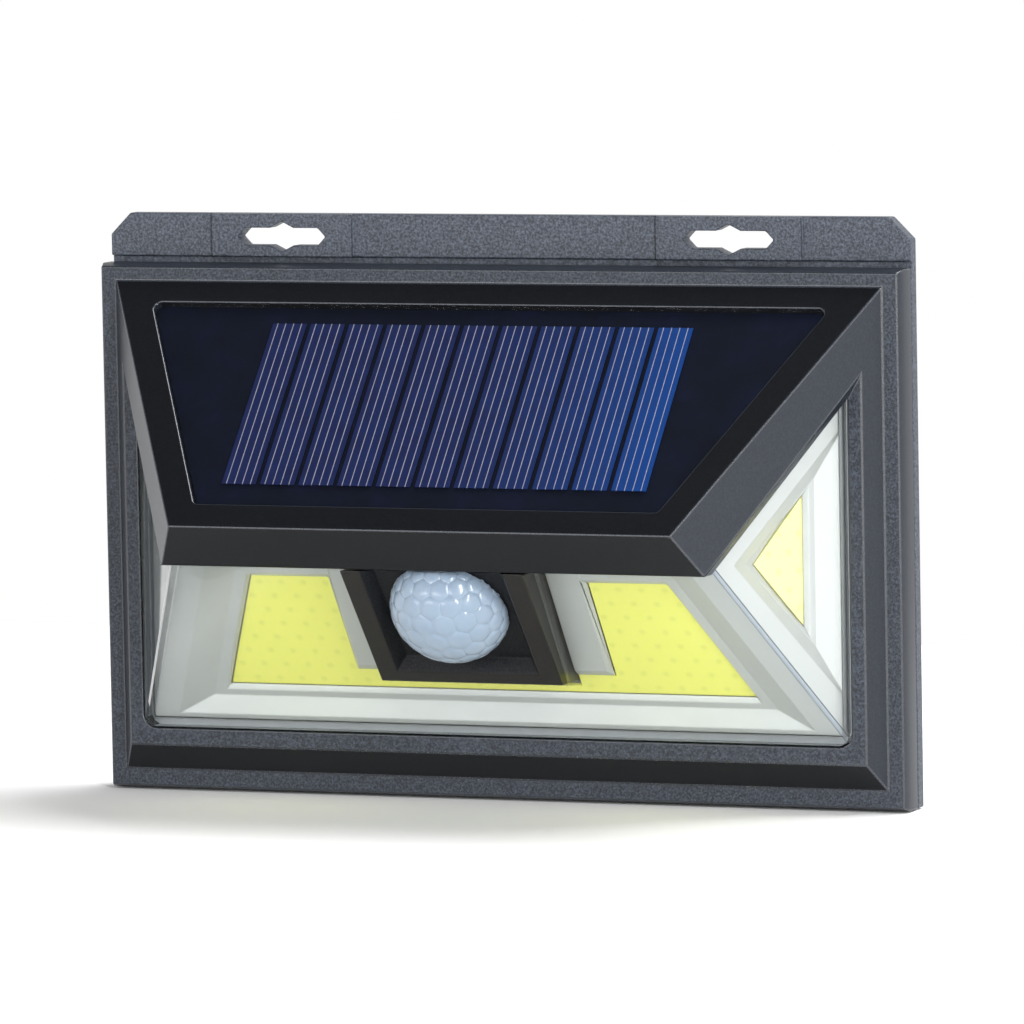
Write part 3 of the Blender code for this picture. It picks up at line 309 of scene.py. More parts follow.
def milky_polyethylene(name, colour, core):
    """Thin white HDPE whose light is painted into its colour: paler where the wall is seen end on,
    as a painted glow, and darker where it is seen face on, as painted shade from the dark inside.
    """
    made, tree, where = new_material(name)
    cloud = add_node(tree, "ShaderNodeTexNoise", {"Vector": where, "Scale": 260.0, "Detail": 2.0})
    edge = add_node(tree, "ShaderNodeLayerWeight", {"Blend": 0.35})
    amount = add_node(tree, "ShaderNodeMath", {
        0: edge.outputs["Facing"], 1: cloud.outputs["Fac"]}, operation="MULTIPLY")
    tint = add_node(tree, "ShaderNodeMix", {
        "Factor": amount.outputs[0], 6: full(core), 7: full(colour)}, data_type="RGBA")
    surface(tree, add_node(tree, "ShaderNodeBsdfPrincipled", {
        "Base Color": tint.outputs[2], "Roughness": 0.22, "Coat Weight": 0.35,
        "Coat Roughness": 0.08}))
    return made


# ----------------------------------------------------------------- piece helpers

def new_piece(name, mesh):
    """A new object in the scene."""
    piece = bpy.data.objects.new(name, mesh)
    bpy.context.scene.collection.objects.link(piece)
    return piece


def mesh_of(shape, name):
    """The shape as a mesh of that name; the shape itself is let go."""
    mesh = bpy.data.meshes.new(name)
    shape.to_mesh(mesh)
    shape.free()
    return mesh


def plain(piece):
    """Turn what the piece's modifiers make into its own mesh, and drop them."""
    graph = bpy.context.evaluated_depsgraph_get()
    mesh = bpy.data.meshes.new_from_object(piece.evaluated_get(graph), depsgraph=graph)
    piece.modifiers.clear()
    piece.data = mesh
    mesh.name = piece.name
    return piece


def smoothed(piece, degrees=28.0):
    """Smooth shading that stays sharp at edges steeper than an angle."""
    piece.data.shade_smooth()
    piece.data.set_sharp_from_angle(angle=math.radians(degrees))
    return piece


def merged_copy(node, name, join_mm=0.03):
    """A copy of a CAD node whose loose triangles are joined into flat faces."""
    shape = bmesh.new()
    shape.from_mesh(NODES[node].data)
    bmesh.ops.remove_doubles(shape, verts=shape.verts, dist=join_mm * MM)
    bmesh.ops.dissolve_limit(shape, angle_limit=math.radians(0.8), verts=shape.verts,
                             edges=shape.edges)
    mesh = mesh_of(shape, name)
    for layer in [a for a in mesh.attributes if a.name == "custom_normal"]:
        mesh.attributes.remove(layer)
    return new_piece(name, mesh)


def rounded(piece, radius, degrees=30.0, segments=2, finish=-1):
    """Round the piece's edges by a moulding radius, in a finish of their own if given."""
    edge = piece.modifiers.new("moulding_radius", "BEVEL")
    edge.material = finish
    edge.width = radius
    edge.segments = segments
    edge.limit_method = "ANGLE"
    edge.angle_limit = math.radians(degrees)
    edge.use_clamp_overlap = False
    return plain(piece)


def grooved(piece, places, half_width, depth):
    """Sink a V-shaped seam at each X place into the piece's front faces."""
    shape = bmesh.new()
    shape.from_mesh(piece.data)
    level = min(vert.co.y for vert in shape.verts)
    for place in places:
        for step in (-half_width, 0.0, half_width):
            front = [face for face in shape.faces if face.normal.y < -0.9]
            parts = {item for face in front for item in (face, *face.edges, *face.verts)}
            cut = bmesh.ops.bisect_plane(shape, geom=list(parts), dist=1e-6,
                                         plane_co=(place + step, level, 0),
                                         plane_no=(1, 0, 0))["geom_cut"]
            if step == 0.0:
                middle = [item for item in cut if isinstance(item, bmesh.types.BMVert)]
        for vert in middle:
            vert.co.y += depth
    shape.to_mesh(piece.data)
    shape.free()
    return piece


def flat_shaded(piece):
    """Smooth shading in which the large faces stay flat and only the radii bend."""
    piece.data.shade_smooth()
    flat = piece.modifiers.new("flat_faces", "WEIGHTED_NORMAL")
    flat.mode = "FACE_AREA"
    flat.weight = 100
    return plain(piece)


def softened(piece, radius, degrees=30.0, segments=2, finish=-1):
    """Rounded, with the large faces kept flat."""
    return flat_shaded(rounded(piece, radius, degrees, segments, finish))


def with_finishes(piece, *finishes):
    """Add finishes to the piece in the order of their indexes."""
    for finish in finishes:
        piece.data.materials.append(finish)
    return piece


def dress(piece, finishes, body=FIXED, replaced=()):
    """Give a piece its finishes, its body and its CAD nodes."""
    with_finishes(piece, *finishes)
    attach(piece, body)
    if replaced:
        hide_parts(*replaced)
    return piece


def paint_nodes(finish, *names):
    """Put one finish on CAD nodes whose shape is right as it is."""
    for name in names:
        data = NODES[name].data
        data.materials.clear()
        data.materials.append(finish)


def face_of(node):
    """Frame of a node's largest flat face: Z out of it, X across the lamp, and the
    origin in the middle of the face."""
    mesh = NODES[node].data
    mesh.calc_loop_triangles()
    areas = {}
    for tri in mesh.loop_triangles:
        key = tuple(round(c, 2) for c in tri.normal)
        if tri.normal.y < 0:
            total, normal, level = areas.get(key, (0.0, tri.normal.copy(), 0.0))
            areas[key] = (total + tri.area, normal, tri.center.dot(tri.normal))
    _, normal, level = max(areas.values(), key=lambda found: found[0])
    up = (Vector((0, 0, 1)) - normal * normal.z).normalized()
    across = up.cross(normal)
    turn = Matrix((across, up, normal)).transposed().to_4x4()
    back = turn.inverted()
    spots = [back @ vert.co for vert in mesh.vertices]
    middle = [(min(s[i] for s in spots) + max(s[i] for s in spots)) / 2 for i in (0, 1)]
    turn.translation = turn.to_3x3() @ Vector((*middle, level))
    return turn


def extent(node, place):
    """Lowest and highest corner of a node in a face's own frame."""
    back = place.inverted()
    spots = [back @ vert.co for vert in NODES[node].data.vertices]
    return [Vector([pick(s[i] for s in spots) for i in range(3)]) for pick in (min, max)]


def lathe(name, profile, place, steps):
    """A turned shape from (radius, level) points down its outer side."""
    shape = bmesh.new()
    points = [shape.verts.new((radius, 0, level)) for radius, level in profile]
    lines = [shape.edges.new(pair) for pair in zip(points, points[1:])]
    bmesh.ops.spin(shape, geom=points + lines, cent=(0, 0, 0), axis=(0, 0, 1),
                   angle=2 * math.pi, steps=steps, use_merge=True)
    bmesh.ops.remove_doubles(shape, verts=shape.verts, dist=1e-6)
    bmesh.ops.recalc_face_normals(shape, faces=shape.faces)
    bmesh.ops.transform(shape, matrix=place, verts=shape.verts)
    return new_piece(name, mesh_of(shape, name))


def new_tree(name, sockets):
    """A Geometry Nodes tree with a mesh output and named inputs."""
    tree = bpy.data.node_groups.new(name, "GeometryNodeTree")
    tree.interface.new_socket("Geometry", in_out="INPUT", socket_type="NodeSocketGeometry")
    for label, kind in sockets:
        tree.interface.new_socket(label, in_out="INPUT", socket_type=kind)
    tree.interface.new_socket("Geometry", in_out="OUTPUT", socket_type="NodeSocketGeometry")
    return tree, add_node(tree, "NodeGroupInput").outputs


def grown(piece, tree, values):
    """Run a tree on a piece with its inputs given by name, and keep the plain mesh."""
    step = piece.modifiers.new("pattern", "NODES")
    step.node_group = tree
    for item in tree.interface.items_tree:
        if item.in_out == "INPUT" and item.name in values:
            step[item.identifier] = values[item.name]
    return plain(piece)


# --------------------------------------------------------------- sizes, colours

def size(label, about, default_mm):
    """A length that the panel shows, given in millimetres."""
    return FloatProperty(name=label, description=about, default=default_mm * MM, min=0.0,
                         subtype="DISTANCE", unit="LENGTH", precision=5)


def tone(label, about, code):
    """A colour that the panel shows, given as sRGB hex."""
    return FloatVectorProperty(name=label, description=about, default=linear(code),
                               subtype="COLOR", min=0.0, max=1.0)


class HousingLook(bpy.types.PropertyGroup):
    edge: size("Moulding radius", "Radius of the housing's edges", 0.3)
    cover_edge: size("Cover radius", "Radius of the rear cover's edges", 0.3)
    seams: FloatVectorProperty(name="Seams", description="X places of the hanging strip's seams",
                               size=2, default=(-68.9 * MM, 35.1 * MM), unit="LENGTH")
    seam_width: size("Seam width", "Width of a seam in the hanging strip", 0.5)
    seam_depth: size("Seam depth", "Depth of a seam in the hanging strip", 0.7)
    slate: tone("Slate", "Grained plastic of the flange", "#20242b")
    strip: tone("Strip", "Grained plastic of the hanging strip", "#282c35")
    # Pale flecks of the housing plastics: painted glints of light on the grain.
    fleck: tone("Fleck", "Pale flecks of the grain, painted glints of light", "#717a89")
    satin: tone("Satin", "Smooth side faces", "#1d222a")
    # Edge tone: lighter than the faces it joins, a painted highlight.
    edge_highlight_tone: tone("Edges", "Edges painted lighter as a highlight", "#23272e")
    black: tone("Black", "Frame of the solar panel and the eave", "#0f1013")


class LensLook(bpy.types.PropertyGroup):
    edge: size("Corner facet", "Width of the facet along the lens's hips", 1.0)
    line_width: size("Facet line", "Width of the lines that bound a facet", 0.12)
    soft: size("Moulding radius", "Radius of the lens's other edges", 0.2)
    # Past this rim, the lens's side walls are painted pale grey as light.
    rim: size("Rim", "How far out the lens's painted bright rim begins", 40.0)
    tray: size("Tray radius", "Radius of the reflector's edges", 0.25)
    clear: tone("Clear", "Tint of the polycarbonate", "#f9fbfc")
    facet: tone("Facet", "Tint seen through a facet", "#cbd6e4")
    # Dark facet lines, also used on the left facet: a painted shade.
    facet_shade_line: tone("Facet line", "Dark tint of the lines that bound a facet, a painted shade", "#4e5a66")
    # Pale grey of the lens wall: painted light for what the clear wall carries from the reflector.
    wall: tone("Wall", "The lens's side wall, painted pale for the light it carries", "#9da1a2")
    silver: tone("Silver", "Plating of the reflector", "#c6c6c1")


class LedLook(bpy.types.PropertyGroup):
    chip_column: size("Chip column", "Distance between chips in a row", 5.2)
    chip_row: size("Chip row", "Distance between rows", 4.0)
    chip_dot: size("Chip dot", "Radius of the dot that shows over a chip", 1.1)
    # Strength of the painted glow that brightens the phosphor.
    painted_glow: FloatProperty(name="Glow", description="Painted glow in the phosphor's own colour",
                        default=0.2, min=0.0)
    front: tone("Front phosphor", "Colour of the lower area", "#e6e36a")
    side: tone("Side phosphor", "Colour of the side areas", "#f6ef9c")
    chip: tone("Chip", "Colour over a chip", "#c9cb5c")
    board: tone("Board", "White solder mask", "#d9dcd9")


class SensorLook(bpy.types.PropertyGroup):
    facet: size("Facet", "Distance between facets of the dome", 4.7)
    groove: size("Groove", "Depth of the grooves between facets", 0.22)
    wall: size("Wall", "Thickness of the dome", 0.7)
    edge: size("Edge", "Radius of the sensor housing's edges", 0.35)
    milky: tone("Dome", "Milky polyethylene", "#c3ced9")
    # The darker core, where the dome is seen face on, is painted shade from the dark inside.
    core: tone("Dome core", "Where the dome is seen face on, painted darker as shade", "#8496a9")
    # The recess is painted darker than the housing: a painted shade.
    recess: size("Recess", "Half width of the darker recess", 18.0)
    brown: tone("Housing", "Brown-black plastic", "#151210")
    shade: tone("Recess", "Recess painted blue-black as shade", "#08080c")


class SolarLook(bpy.types.PropertyGroup):
    lines: IntProperty(name="Lines", description="Contact lines on each cell", default=4, min=1)
    line_pitch: size("Line pitch", "Distance between contact lines", 1.86)
    line_width: size("Line width", "Width of a contact line", 0.16)
    dark: tone("Dark blue", "Silicon at the dark end", "#131a40")
    bright: tone("Bright blue", "Silicon at the bright end", "#0a3674")
    backing: tone("Backing", "Sheet behind the cells", "#050b18")
    silver: tone("Lines", "Printed silver", "#9a9aa6")


class FittingLook(bpy.types.PropertyGroup):
    head: size("Screw head", "Height of the rear screws' heads", 1.5)
    recess: size("Recess width", "Width of the screw's cross recess", 0.7)
    steel: tone("Steel", "Plated steel", "#b9bab6")
    rubber: tone("Rubber", "Silicone rubber", "#17181a")


class StageLook(bpy.types.PropertyGroup):
    floor: tone("Floor", "Pale floor", "#f4f4f4")
    sky: tone("Surroundings", "Light from all round", "#ffffff")


class FloodLight(bpy.types.PropertyGroup):
    housing: PointerProperty(type=HousingLook)
    lens: PointerProperty(type=LensLook)
    leds: PointerProperty(type=LedLook)
    sensor: PointerProperty(type=SensorLook)
    solar: PointerProperty(type=SolarLook)
    fittings: PointerProperty(type=FittingLook)
    stage: PointerProperty(type=StageLook)


# -------------------------------------------------------------------- operators

class MakeHousing(bpy.types.Operator):
    """Front housing and rear cover, with moulding radii and three plastics"""
    bl_idname = "flood_light.housing"
    bl_label = "Housing"

    def execute(self, context):
        look = context.scene.flood_light.housing
        slate = moulded_plastic("slate_abs_spark_grain", look.slate, look.fleck, 0.5, 0.08, 0.5,
                                0.36, 0.3)
        satin = moulded_plastic("grey_abs_satin", look.satin, look.fleck, 0.5, 0.01, 0.32, 0.06,
                                0.35)
        black = moulded_plastic("black_abs_polished", look.black, look.fleck, 0.5, 0.008, 0.34,
                                0.02, 0.25)
        # Moulding radii: a lighter tone painted on as a highlight along every edge, with a
        # glossier skin.
        edge_highlight = moulded_plastic("slate_abs_painted_edge_highlight", look.edge_highlight_tone, look.fleck, 0.5, 0.004,
                               0.24, 0.1, 0.8)
        housing = with_finishes(merged_copy("front_housing", "housing_shell"),
                                slate, satin, black, edge_highlight)
        for face in housing.data.polygons:
            face.material_index = self.finish_index(face.normal)
        softened(housing, look.edge, finish=EDGE_HIGHLIGHT)
        dress(housing, (), replaced=("front_housing",))
        cover = rounded(merged_copy("rear_cover", "cover_plate", 0.004), look.cover_edge)
        grooved(cover, look.seams, look.seam_width / 2, look.seam_depth)
        coarse = moulded_plastic("slate_abs_leather_grain", look.strip, look.fleck, 0.55, 0.12,
                                 0.46, 0.58, 0.4)
        dress(flat_shaded(cover), (coarse,), replaced=("rear_cover",))
        return {"FINISHED"}

    @staticmethod
    def finish_index(normal):
        """Grained flange, smooth side faces and hips, and the black frame."""
        if normal.y < -FLAT:
            return SLATE
        hip = abs(normal.x) > 0.6 and normal.y < 0.1
        return SATIN if hip or abs(normal.y) < 0.3 else BLACK


class MakeLens(bpy.types.Operator):
    """Clear lens with faceted hips, and the plated reflector behind it"""
    bl_idname = "flood_light.lens"
    bl_label = "Lens and reflector"

    def execute(self, context):
        look = context.scene.flood_light.lens
        lens = with_finishes(
            merged_copy("clear_lens", "lens_shell"),
            clear_pane("clear_polycarbonate_moulded", look.clear, 1.0),
            clear_pane("clear_polycarbonate_facet", look.facet, 2.5),
            clear_pane("clear_polycarbonate_painted_facet_shade", look.facet_shade_line, 2.5),
            moulded_plastic("polycarbonate_wall_painted_light", look.wall, look.clear, 4.0, 0.0, 0.4,
                            0.06))
        # Far-out side walls and back faces get an opaque pale grey: painted light for the light
        # the clear wall carries from the reflector.
        for face in lens.data.polygons:
            away = max(abs(face.center.x), -face.center.z) > look.rim
            wall = max(abs(face.normal.x), abs(face.normal.z)) > FLAT
            if face.normal.y > FLAT or (wall and away):
                face.material_index = PAINTED_LIGHT_WALL
        self.facet_hips(lens, look.edge, look.line_width)
        softened(lens, look.soft, 40.0, 1)
        dress(lens, (), replaced=("clear_lens",))
        mirror = softened(merged_copy("reflector", "reflector_tray"), look.tray, 20.0)
        dress(mirror, (plated_plastic("abs_vacuum_plated", look.silver, 0.36),),
              replaced=("reflector",))
        return {"FINISHED"}

    @staticmethod
    def facet_hips(lens, width, line):
        """Cut a facet along each outer hip, with a fine dark line on both of its sides as painted
        shade.
        The facet on the left takes the same dark tint, as painted shade from the dark wall behind
        it."""
        shape = bmesh.new()
        shape.from_mesh(lens.data)
        hips = [edge for edge in shape.edges if len(edge.link_faces) == 2
                and all(face.normal.y < -0.5 for face in edge.link_faces)
                and edge.calc_face_angle() > math.radians(40)]
        cut = bmesh.ops.bevel(shape, geom=hips, offset=width, segments=1, profile=0.5,
                              affect="EDGES", material=FACET, clamp_overlap=False)
        # The left facet takes the dark line tint: painted shade from the dark wall behind it.
        for face in cut["faces"]:
            if face.normal.x < 0:
                face.material_index = FACET_SHADE_LINE
        sides = {edge for face in cut["faces"] for edge in face.edges
                 if len(edge.link_faces) == 2 and edge.calc_length() > width * 3}
        bmesh.ops.bevel(shape, geom=list(sides), offset=line, segments=1, profile=0.5,
                        affect="EDGES", material=FACET_SHADE_LINE, clamp_overlap=False)
        shape.to_mesh(lens.data)
        shape.free()


class MakeLeds(bpy.types.Operator):
    """Phosphor areas and their white boards"""
    bl_idname = "flood_light.leds"
    bl_label = "LED areas"

    def execute(self, context):
        look = context.scene.flood_light.leds
        board = moulded_plastic("white_solder_mask", look.board, look.board, 1.5, 0.01, 0.4)
        for side, colour in (("low", look.front), ("left", look.side), ("right", look.side)):
            node = f"led_phosphor_{side}"
            paint_nodes(phosphor(f"phosphor_silicone_{side}", colour, look.chip, face_of(node),
                                 look), node)
            paint_nodes(board, f"led_board_{side}")
        return {"FINISHED"}


class MakeSensor(bpy.types.Operator):
    """Sensor housing, and the dome with its honeycomb of small lenses"""
    bl_idname = "flood_light.sensor"
    bl_label = "Motion sensor"

    def execute(self, context):
        look = context.scene.flood_light.sensor
        brown = moulded_plastic("brown_black_abs", look.brown, look.milky, 0.35, 0.01, 0.32, 0.015,
                                0.35)
        # Near-black painted shade for the recess.
        shade = moulded_plastic("blue_black_abs_painted_recess_shade", look.shade, look.milky, 0.35, 0.01, 0.45,
                                0.03, 0.2)
        housing = with_finishes(merged_copy("sensor_housing", "sensor_bezel"), brown, shade)
        front = max((face for face in housing.data.polygons if face.normal.y < -0.5),
                    key=lambda face: face.area)
        level = (front.center - front.normal * look.edge).dot(front.normal)
        # Faces sunk behind the front, inside the recess, get the painted shade.
        for face in housing.data.polygons:
            inside = face.normal.y < -0.2 and abs(face.center.x) < look.recess
            if inside and face.center.dot(front.normal) < level:
                face.material_index = RECESS_SHADE
        softened(housing, look.edge)
        dress(housing, (), replaced=("sensor_housing",))
        dome = self.honeycomb_dome(look)
        dress(dome, (milky_polyethylene("milky_hdpe", look.milky, look.core),),
              replaced=("sensor_dome",))
        return {"FINISHED"}

    @staticmethod
    def honeycomb_dome(look):
        """Six-sided cushions laid over a flattened half ball. A hexagonal grid on a
        flat disc is wrapped on to the dome, and its grid lines are sunk."""
        place = face_of("sensor_board")
        low, high = extent("sensor_dome", place)
        radius = (high.x - low.x) / 2
        rise = high.z - low.z
        middle = Vector(((high.x + low.x) / 2, low.y + radius, low.z))
        spread = (radius + rise) / 2 * math.pi / 2
        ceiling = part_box("sensor_dome")[1][2]
        shape = bmesh.new()

        def wrapped(x, y, sink):
            length = max(math.hypot(x, y), 1e-9)
            angle = min(length / spread, 1.0) * math.pi / 2
            out = (radius - sink) * math.sin(angle) / length
            spot = place @ (middle + Vector((x * out, y * out, (rise - sink) * math.cos(angle))))
            spot.z = min(spot.z, ceiling)
            return shape.verts.new(spot)

        pitch = look.facet
        row_height = pitch * math.sqrt(3) / 2
        reach = int(spread / row_height) + 2
        for row in range(-reach, reach + 1):
            for column in range(-reach - 1, reach + 2):
                x = (column + (row % 2) / 2) * pitch
                y = row * row_height
                if math.hypot(x, y) > spread + pitch * 0.45:
                    continue
                rings = []
                for share, sink in ((1.0, look.groove), (0.86, look.groove / 4), (0.45, 0.0)):
                    ring = []
                    for corner in range(12):
                        turn = math.radians(30 * corner + 30)
                        side = pitch / 2 / math.cos(math.radians(30))
                        away = side if corner % 2 == 0 else side * math.cos(math.radians(30))
                        ring.append(wrapped(x + share * away * math.cos(turn),
                                            y + share * away * math.sin(turn), sink))
                    rings.append(ring)
                hub = wrapped(x, y, 0.0)
                for outer, inner in zip(rings, rings[1:]):
                    for i in range(12):
                        j = (i + 1) % 12
                        shape.faces.new((outer[i], outer[j], inner[j], inner[i]))
                for i in range(12):
                    shape.faces.new((rings[-1][i], rings[-1][(i + 1) % 12], hub))
        bmesh.ops.remove_doubles(shape, verts=shape.verts, dist=0.03 * MM)
        slivers = [face for face in shape.faces if face.calc_area() < 0.02 * MM * MM]
        bmesh.ops.delete(shape, geom=slivers, context="FACES")
        bmesh.ops.recalc_face_normals(shape, faces=shape.faces)
        name = "sensor_dome_honeycomb"
        piece = new_piece(name, mesh_of(shape, name))
        wall = piece.modifiers.new("wall", "SOLIDIFY")
        wall.thickness = look.wall
        wall.offset = -1.0
        return smoothed(plain(piece), 50.0)


class MakeSolar(bpy.types.Operator):
    """Solar cells with their contact lines, the backing and the clear cover"""
    bl_idname = "flood_light.solar"
    bl_label = "Solar panel"

    def execute(self, context):
        look = context.scene.flood_light.solar
        cells = sorted(name for name in NODES if name.startswith("solar_cell_"))
        place = face_of(cells[len(cells) // 2])
        low, high = extent(cells[0], place)
        length, thick = (high - low).yz
        pitch = (extent(cells[-1], place)[0].x - low.x) / (len(cells) - 1)
        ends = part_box(cells[0])[0][0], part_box(cells[-1])[1][0]
        silver = moulded_plastic("printed_silver_paste", look.silver, look.dark, 0.3, 0.004, 0.5,
                                 0.35)
        blue = silicon("silicon_coated", look.dark, look.bright, *ends)
        strings = new_piece("solar_cell_strings", bpy.data.meshes.new("solar_cell_strings"))
        first_line = look.line_pitch * (1 - look.lines) / 2
        grown(strings, self.cell_tree(), {
            "Cells": len(cells), "Cell Size": high - low, "Cell Pitch": (pitch, 0.0, 0.0),
            "First Cell": ((low.x + high.x) / 2, 0.0, 0.0), "Lines": look.lines,
            "Line Size": (look.line_width, length, thick),
            "Line Pitch": (look.line_pitch, 0.0, 0.0),
            "First Line": (first_line, 0.0, thick * LINE_LIFT),
            "Silicon": blue, "Silver": silver})
        level = place @ Matrix.Translation((0, 0, (low.z + high.z) / 2))
        strings.data.transform(level)
        dress(strings, (), replaced=cells)
        paint_nodes(clear_pane("epoxy_resin_cast", linear("#ffffff"), 0.8, 0.03),
                    "solar_cover_sheet")
        paint_nodes(moulded_plastic("navy_backing_sheet", look.backing, look.dark, 9.0, 0.0,
                                    0.6, 0.2, 0.1), "solar_backing")
        return {"FINISHED"}

    @staticmethod
    def cell_tree():
        """A row of cells, each with its own row of contact lines."""
        whole, vector, finish = "NodeSocketInt", "NodeSocketVector", "NodeSocketMaterial"
        tree, given = new_tree("solar_cells", [
            ("Cells", whole), ("Cell Size", vector), ("Cell Pitch", vector),
            ("First Cell", vector), ("Lines", whole), ("Line Size", vector),
            ("Line Pitch", vector), ("First Line", vector), ("Silicon", finish),
            ("Silver", finish)])
        plate, bar = [add_node(tree, "GeometryNodeMeshCube", {
            "Size": given[f"{item} Size"]}) for item in ("Cell", "Line")]
        row, places = [add_node(tree, "GeometryNodeMeshLine", {
            "Count": given[f"{item}s"], "Start Location": given[f"First {item}"],
            "Offset": given[f"{item} Pitch"]}) for item in ("Cell", "Line")]
        bars = add_node(tree, "GeometryNodeInstanceOnPoints", {
            "Points": places.outputs[0], "Instance": bar.outputs[0]})
        ready = []
        for thing, paint in ((plate.outputs[0], "Silicon"), (bars.outputs[0], "Silver")):
            copies = add_node(tree, "GeometryNodeInstanceOnPoints", {
                "Points": row.outputs[0], "Instance": thing})
            real = add_node(tree, "GeometryNodeRealizeInstances", {0: copies.outputs[0]})
            ready.append(add_node(tree, "GeometryNodeSetMaterial", {
                "Geometry": real.outputs[0], "Material": given[paint]}))
        both = add_node(tree, "GeometryNodeJoinGeometry")
        for branch in reversed(ready):
            tree.links.new(branch.outputs[0], both.inputs[0])
        add_node(tree, "NodeGroupOutput", {0: both.outputs[0]})
        return tree


class MakeFittings(bpy.types.Operator):
    """Rear screws, the mode button and the gasket"""
    bl_idname = "flood_light.fittings"
    bl_label = "Screws, button and gasket"

    def execute(self, context):
        look = context.scene.flood_light.fittings
        steel = plated_steel("zinc_plated_steel", look.steel)
        rubber = moulded_rubber("silicone_rubber", look.rubber)
        names = sorted(name for name in NODES if name.startswith("rear_screw_"))
        mesh = bpy.data.meshes.new("rear_screws")
        corners = [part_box(name) for name in names]
        mesh.from_pydata([((low[0] + high[0]) / 2, high[1], (low[2] + high[2]) / 2)
                          for low, high in corners], [], [])
        screws = new_piece("rear_screws", mesh)
        low, high = corners[0]
        radius, length = (high[0] - low[0]) / 2, high[1] - low[1]
        wide, deep = radius * CROSS_SHARE, look.head * CROSS_SHARE
        grown(screws, self.screw_tree(), {
            "Head Radius": radius, "Rim Radius": radius * RIM_SHARE, "Head Height": look.head,
            "Head Place": (0.0, 0.0, -look.head), "Bar Across": (wide, look.recess, deep),
            "Bar Along": (look.recess, wide, deep), "Cross Place": (0.0, 0.0, look.head),
            "Shank Radius": radius * SHANK_SHARE, "Shank Length": length - look.head,
            "Shank Place": (0.0, 0.0, -(length + look.head) / 2), "Finish": steel})
        dress(smoothed(screws), (), replaced=names)
        self.button(rubber)
        paint_nodes(rubber, "rear_gasket")
        paint_nodes(steel, "board_screw_left", "board_screw_right", "battery_contact_left",
                    "battery_contact_right", "sensor_can", "driver_inductor")
        paint_nodes(rubber, "driver_chip", "driver_capacitor")
        return {"FINISHED"}

    @staticmethod
    def button(rubber):
        """A soft cap with a raised rim and a dimple for the finger."""
        low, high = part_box("mode_button")
        place = (Matrix.Translation(((low[0] + high[0]) / 2, high[1], (low[2] + high[2]) / 2))
                 @ Matrix.Rotation(-math.pi / 2, 4, "X"))
        deep = high[1] - low[1]
        collar = (high[0] - low[0]) / 2
        cap = collar - BUTTON_COLLAR * MM
        brim = BUTTON_BRIM * MM - deep
        points = [(radius * MM, level * MM) for radius, level in BUTTON_PROFILE]
        points += [(cap - 0.4 * MM, -0.25 * MM), (cap, -0.65 * MM), (cap, brim),
                   (collar, brim), (collar, -deep), (0, -deep)]
        piece = smoothed(lathe("mode_button_cap", points, place, 48), 40.0)
        dress(piece, (rubber,), PRESSED, ("mode_button",))

    @staticmethod
    def screw_tree():
        """A pan head with a cross recess and a shank, at each vertex of the piece."""
        number, vector = "NodeSocketFloat", "NodeSocketVector"
        tree, given = new_tree("cross_screws", [
            ("Head Radius", number), ("Rim Radius", number), ("Head Height", number),
            ("Head Place", vector), ("Bar Across", vector), ("Bar Along", vector),
            ("Cross Place", vector), ("Shank Radius", number), ("Shank Length", number),
            ("Shank Place", vector), ("Finish", "NodeSocketMaterial")])
        head = add_node(tree, "GeometryNodeMeshCone", {
            "Vertices": 28, "Radius Top": given["Rim Radius"],
            "Radius Bottom": given["Head Radius"], "Depth": given["Head Height"]})
        cross = add_node(tree, "GeometryNodeMeshBoolean", operation="UNION")
        for name in ("Bar Across", "Bar Along"):
            bar = add_node(tree, "GeometryNodeMeshCube", {"Size": given[name]})
            tree.links.new(bar.outputs[0], cross.inputs[1])
        cutter = add_node(tree, "GeometryNodeTransform", {
            0: cross.outputs[0], "Translation": given["Cross Place"]})
        cut = add_node(tree, "GeometryNodeMeshBoolean", {0: head.outputs[0], 1: cutter.outputs[0]})
        placed = add_node(tree, "GeometryNodeTransform", {
            0: cut.outputs[0], "Translation": given["Head Place"]})
        shank = add_node(tree, "GeometryNodeMeshCylinder", {
            "Vertices": 16, "Radius": given["Shank Radius"], "Depth": given["Shank Length"]})
        hung = add_node(tree, "GeometryNodeTransform", {
            0: shank.outputs[0], "Translation": given["Shank Place"]})
        screw = add_node(tree, "GeometryNodeJoinGeometry")
        for part in (placed, hung):
            tree.links.new(part.outputs[0], screw.inputs[0])
        turned = add_node(tree, "GeometryNodeTransform", {
            0: screw.outputs[0], "Rotation": (-math.pi / 2, 0.0, 0.0)})
        copies = add_node(tree, "GeometryNodeInstanceOnPoints", {
            "Points": given["Geometry"], "Instance": turned.outputs[0]})
        real = add_node(tree, "GeometryNodeRealizeInstances", {0: copies.outputs[0]})
        done = add_node(tree, "GeometryNodeSetMaterial", {
            "Geometry": real.outputs[0], "Material": given["Finish"]})
        add_node(tree, "NodeGroupOutput", {0: done.outputs[0]})
        return tree


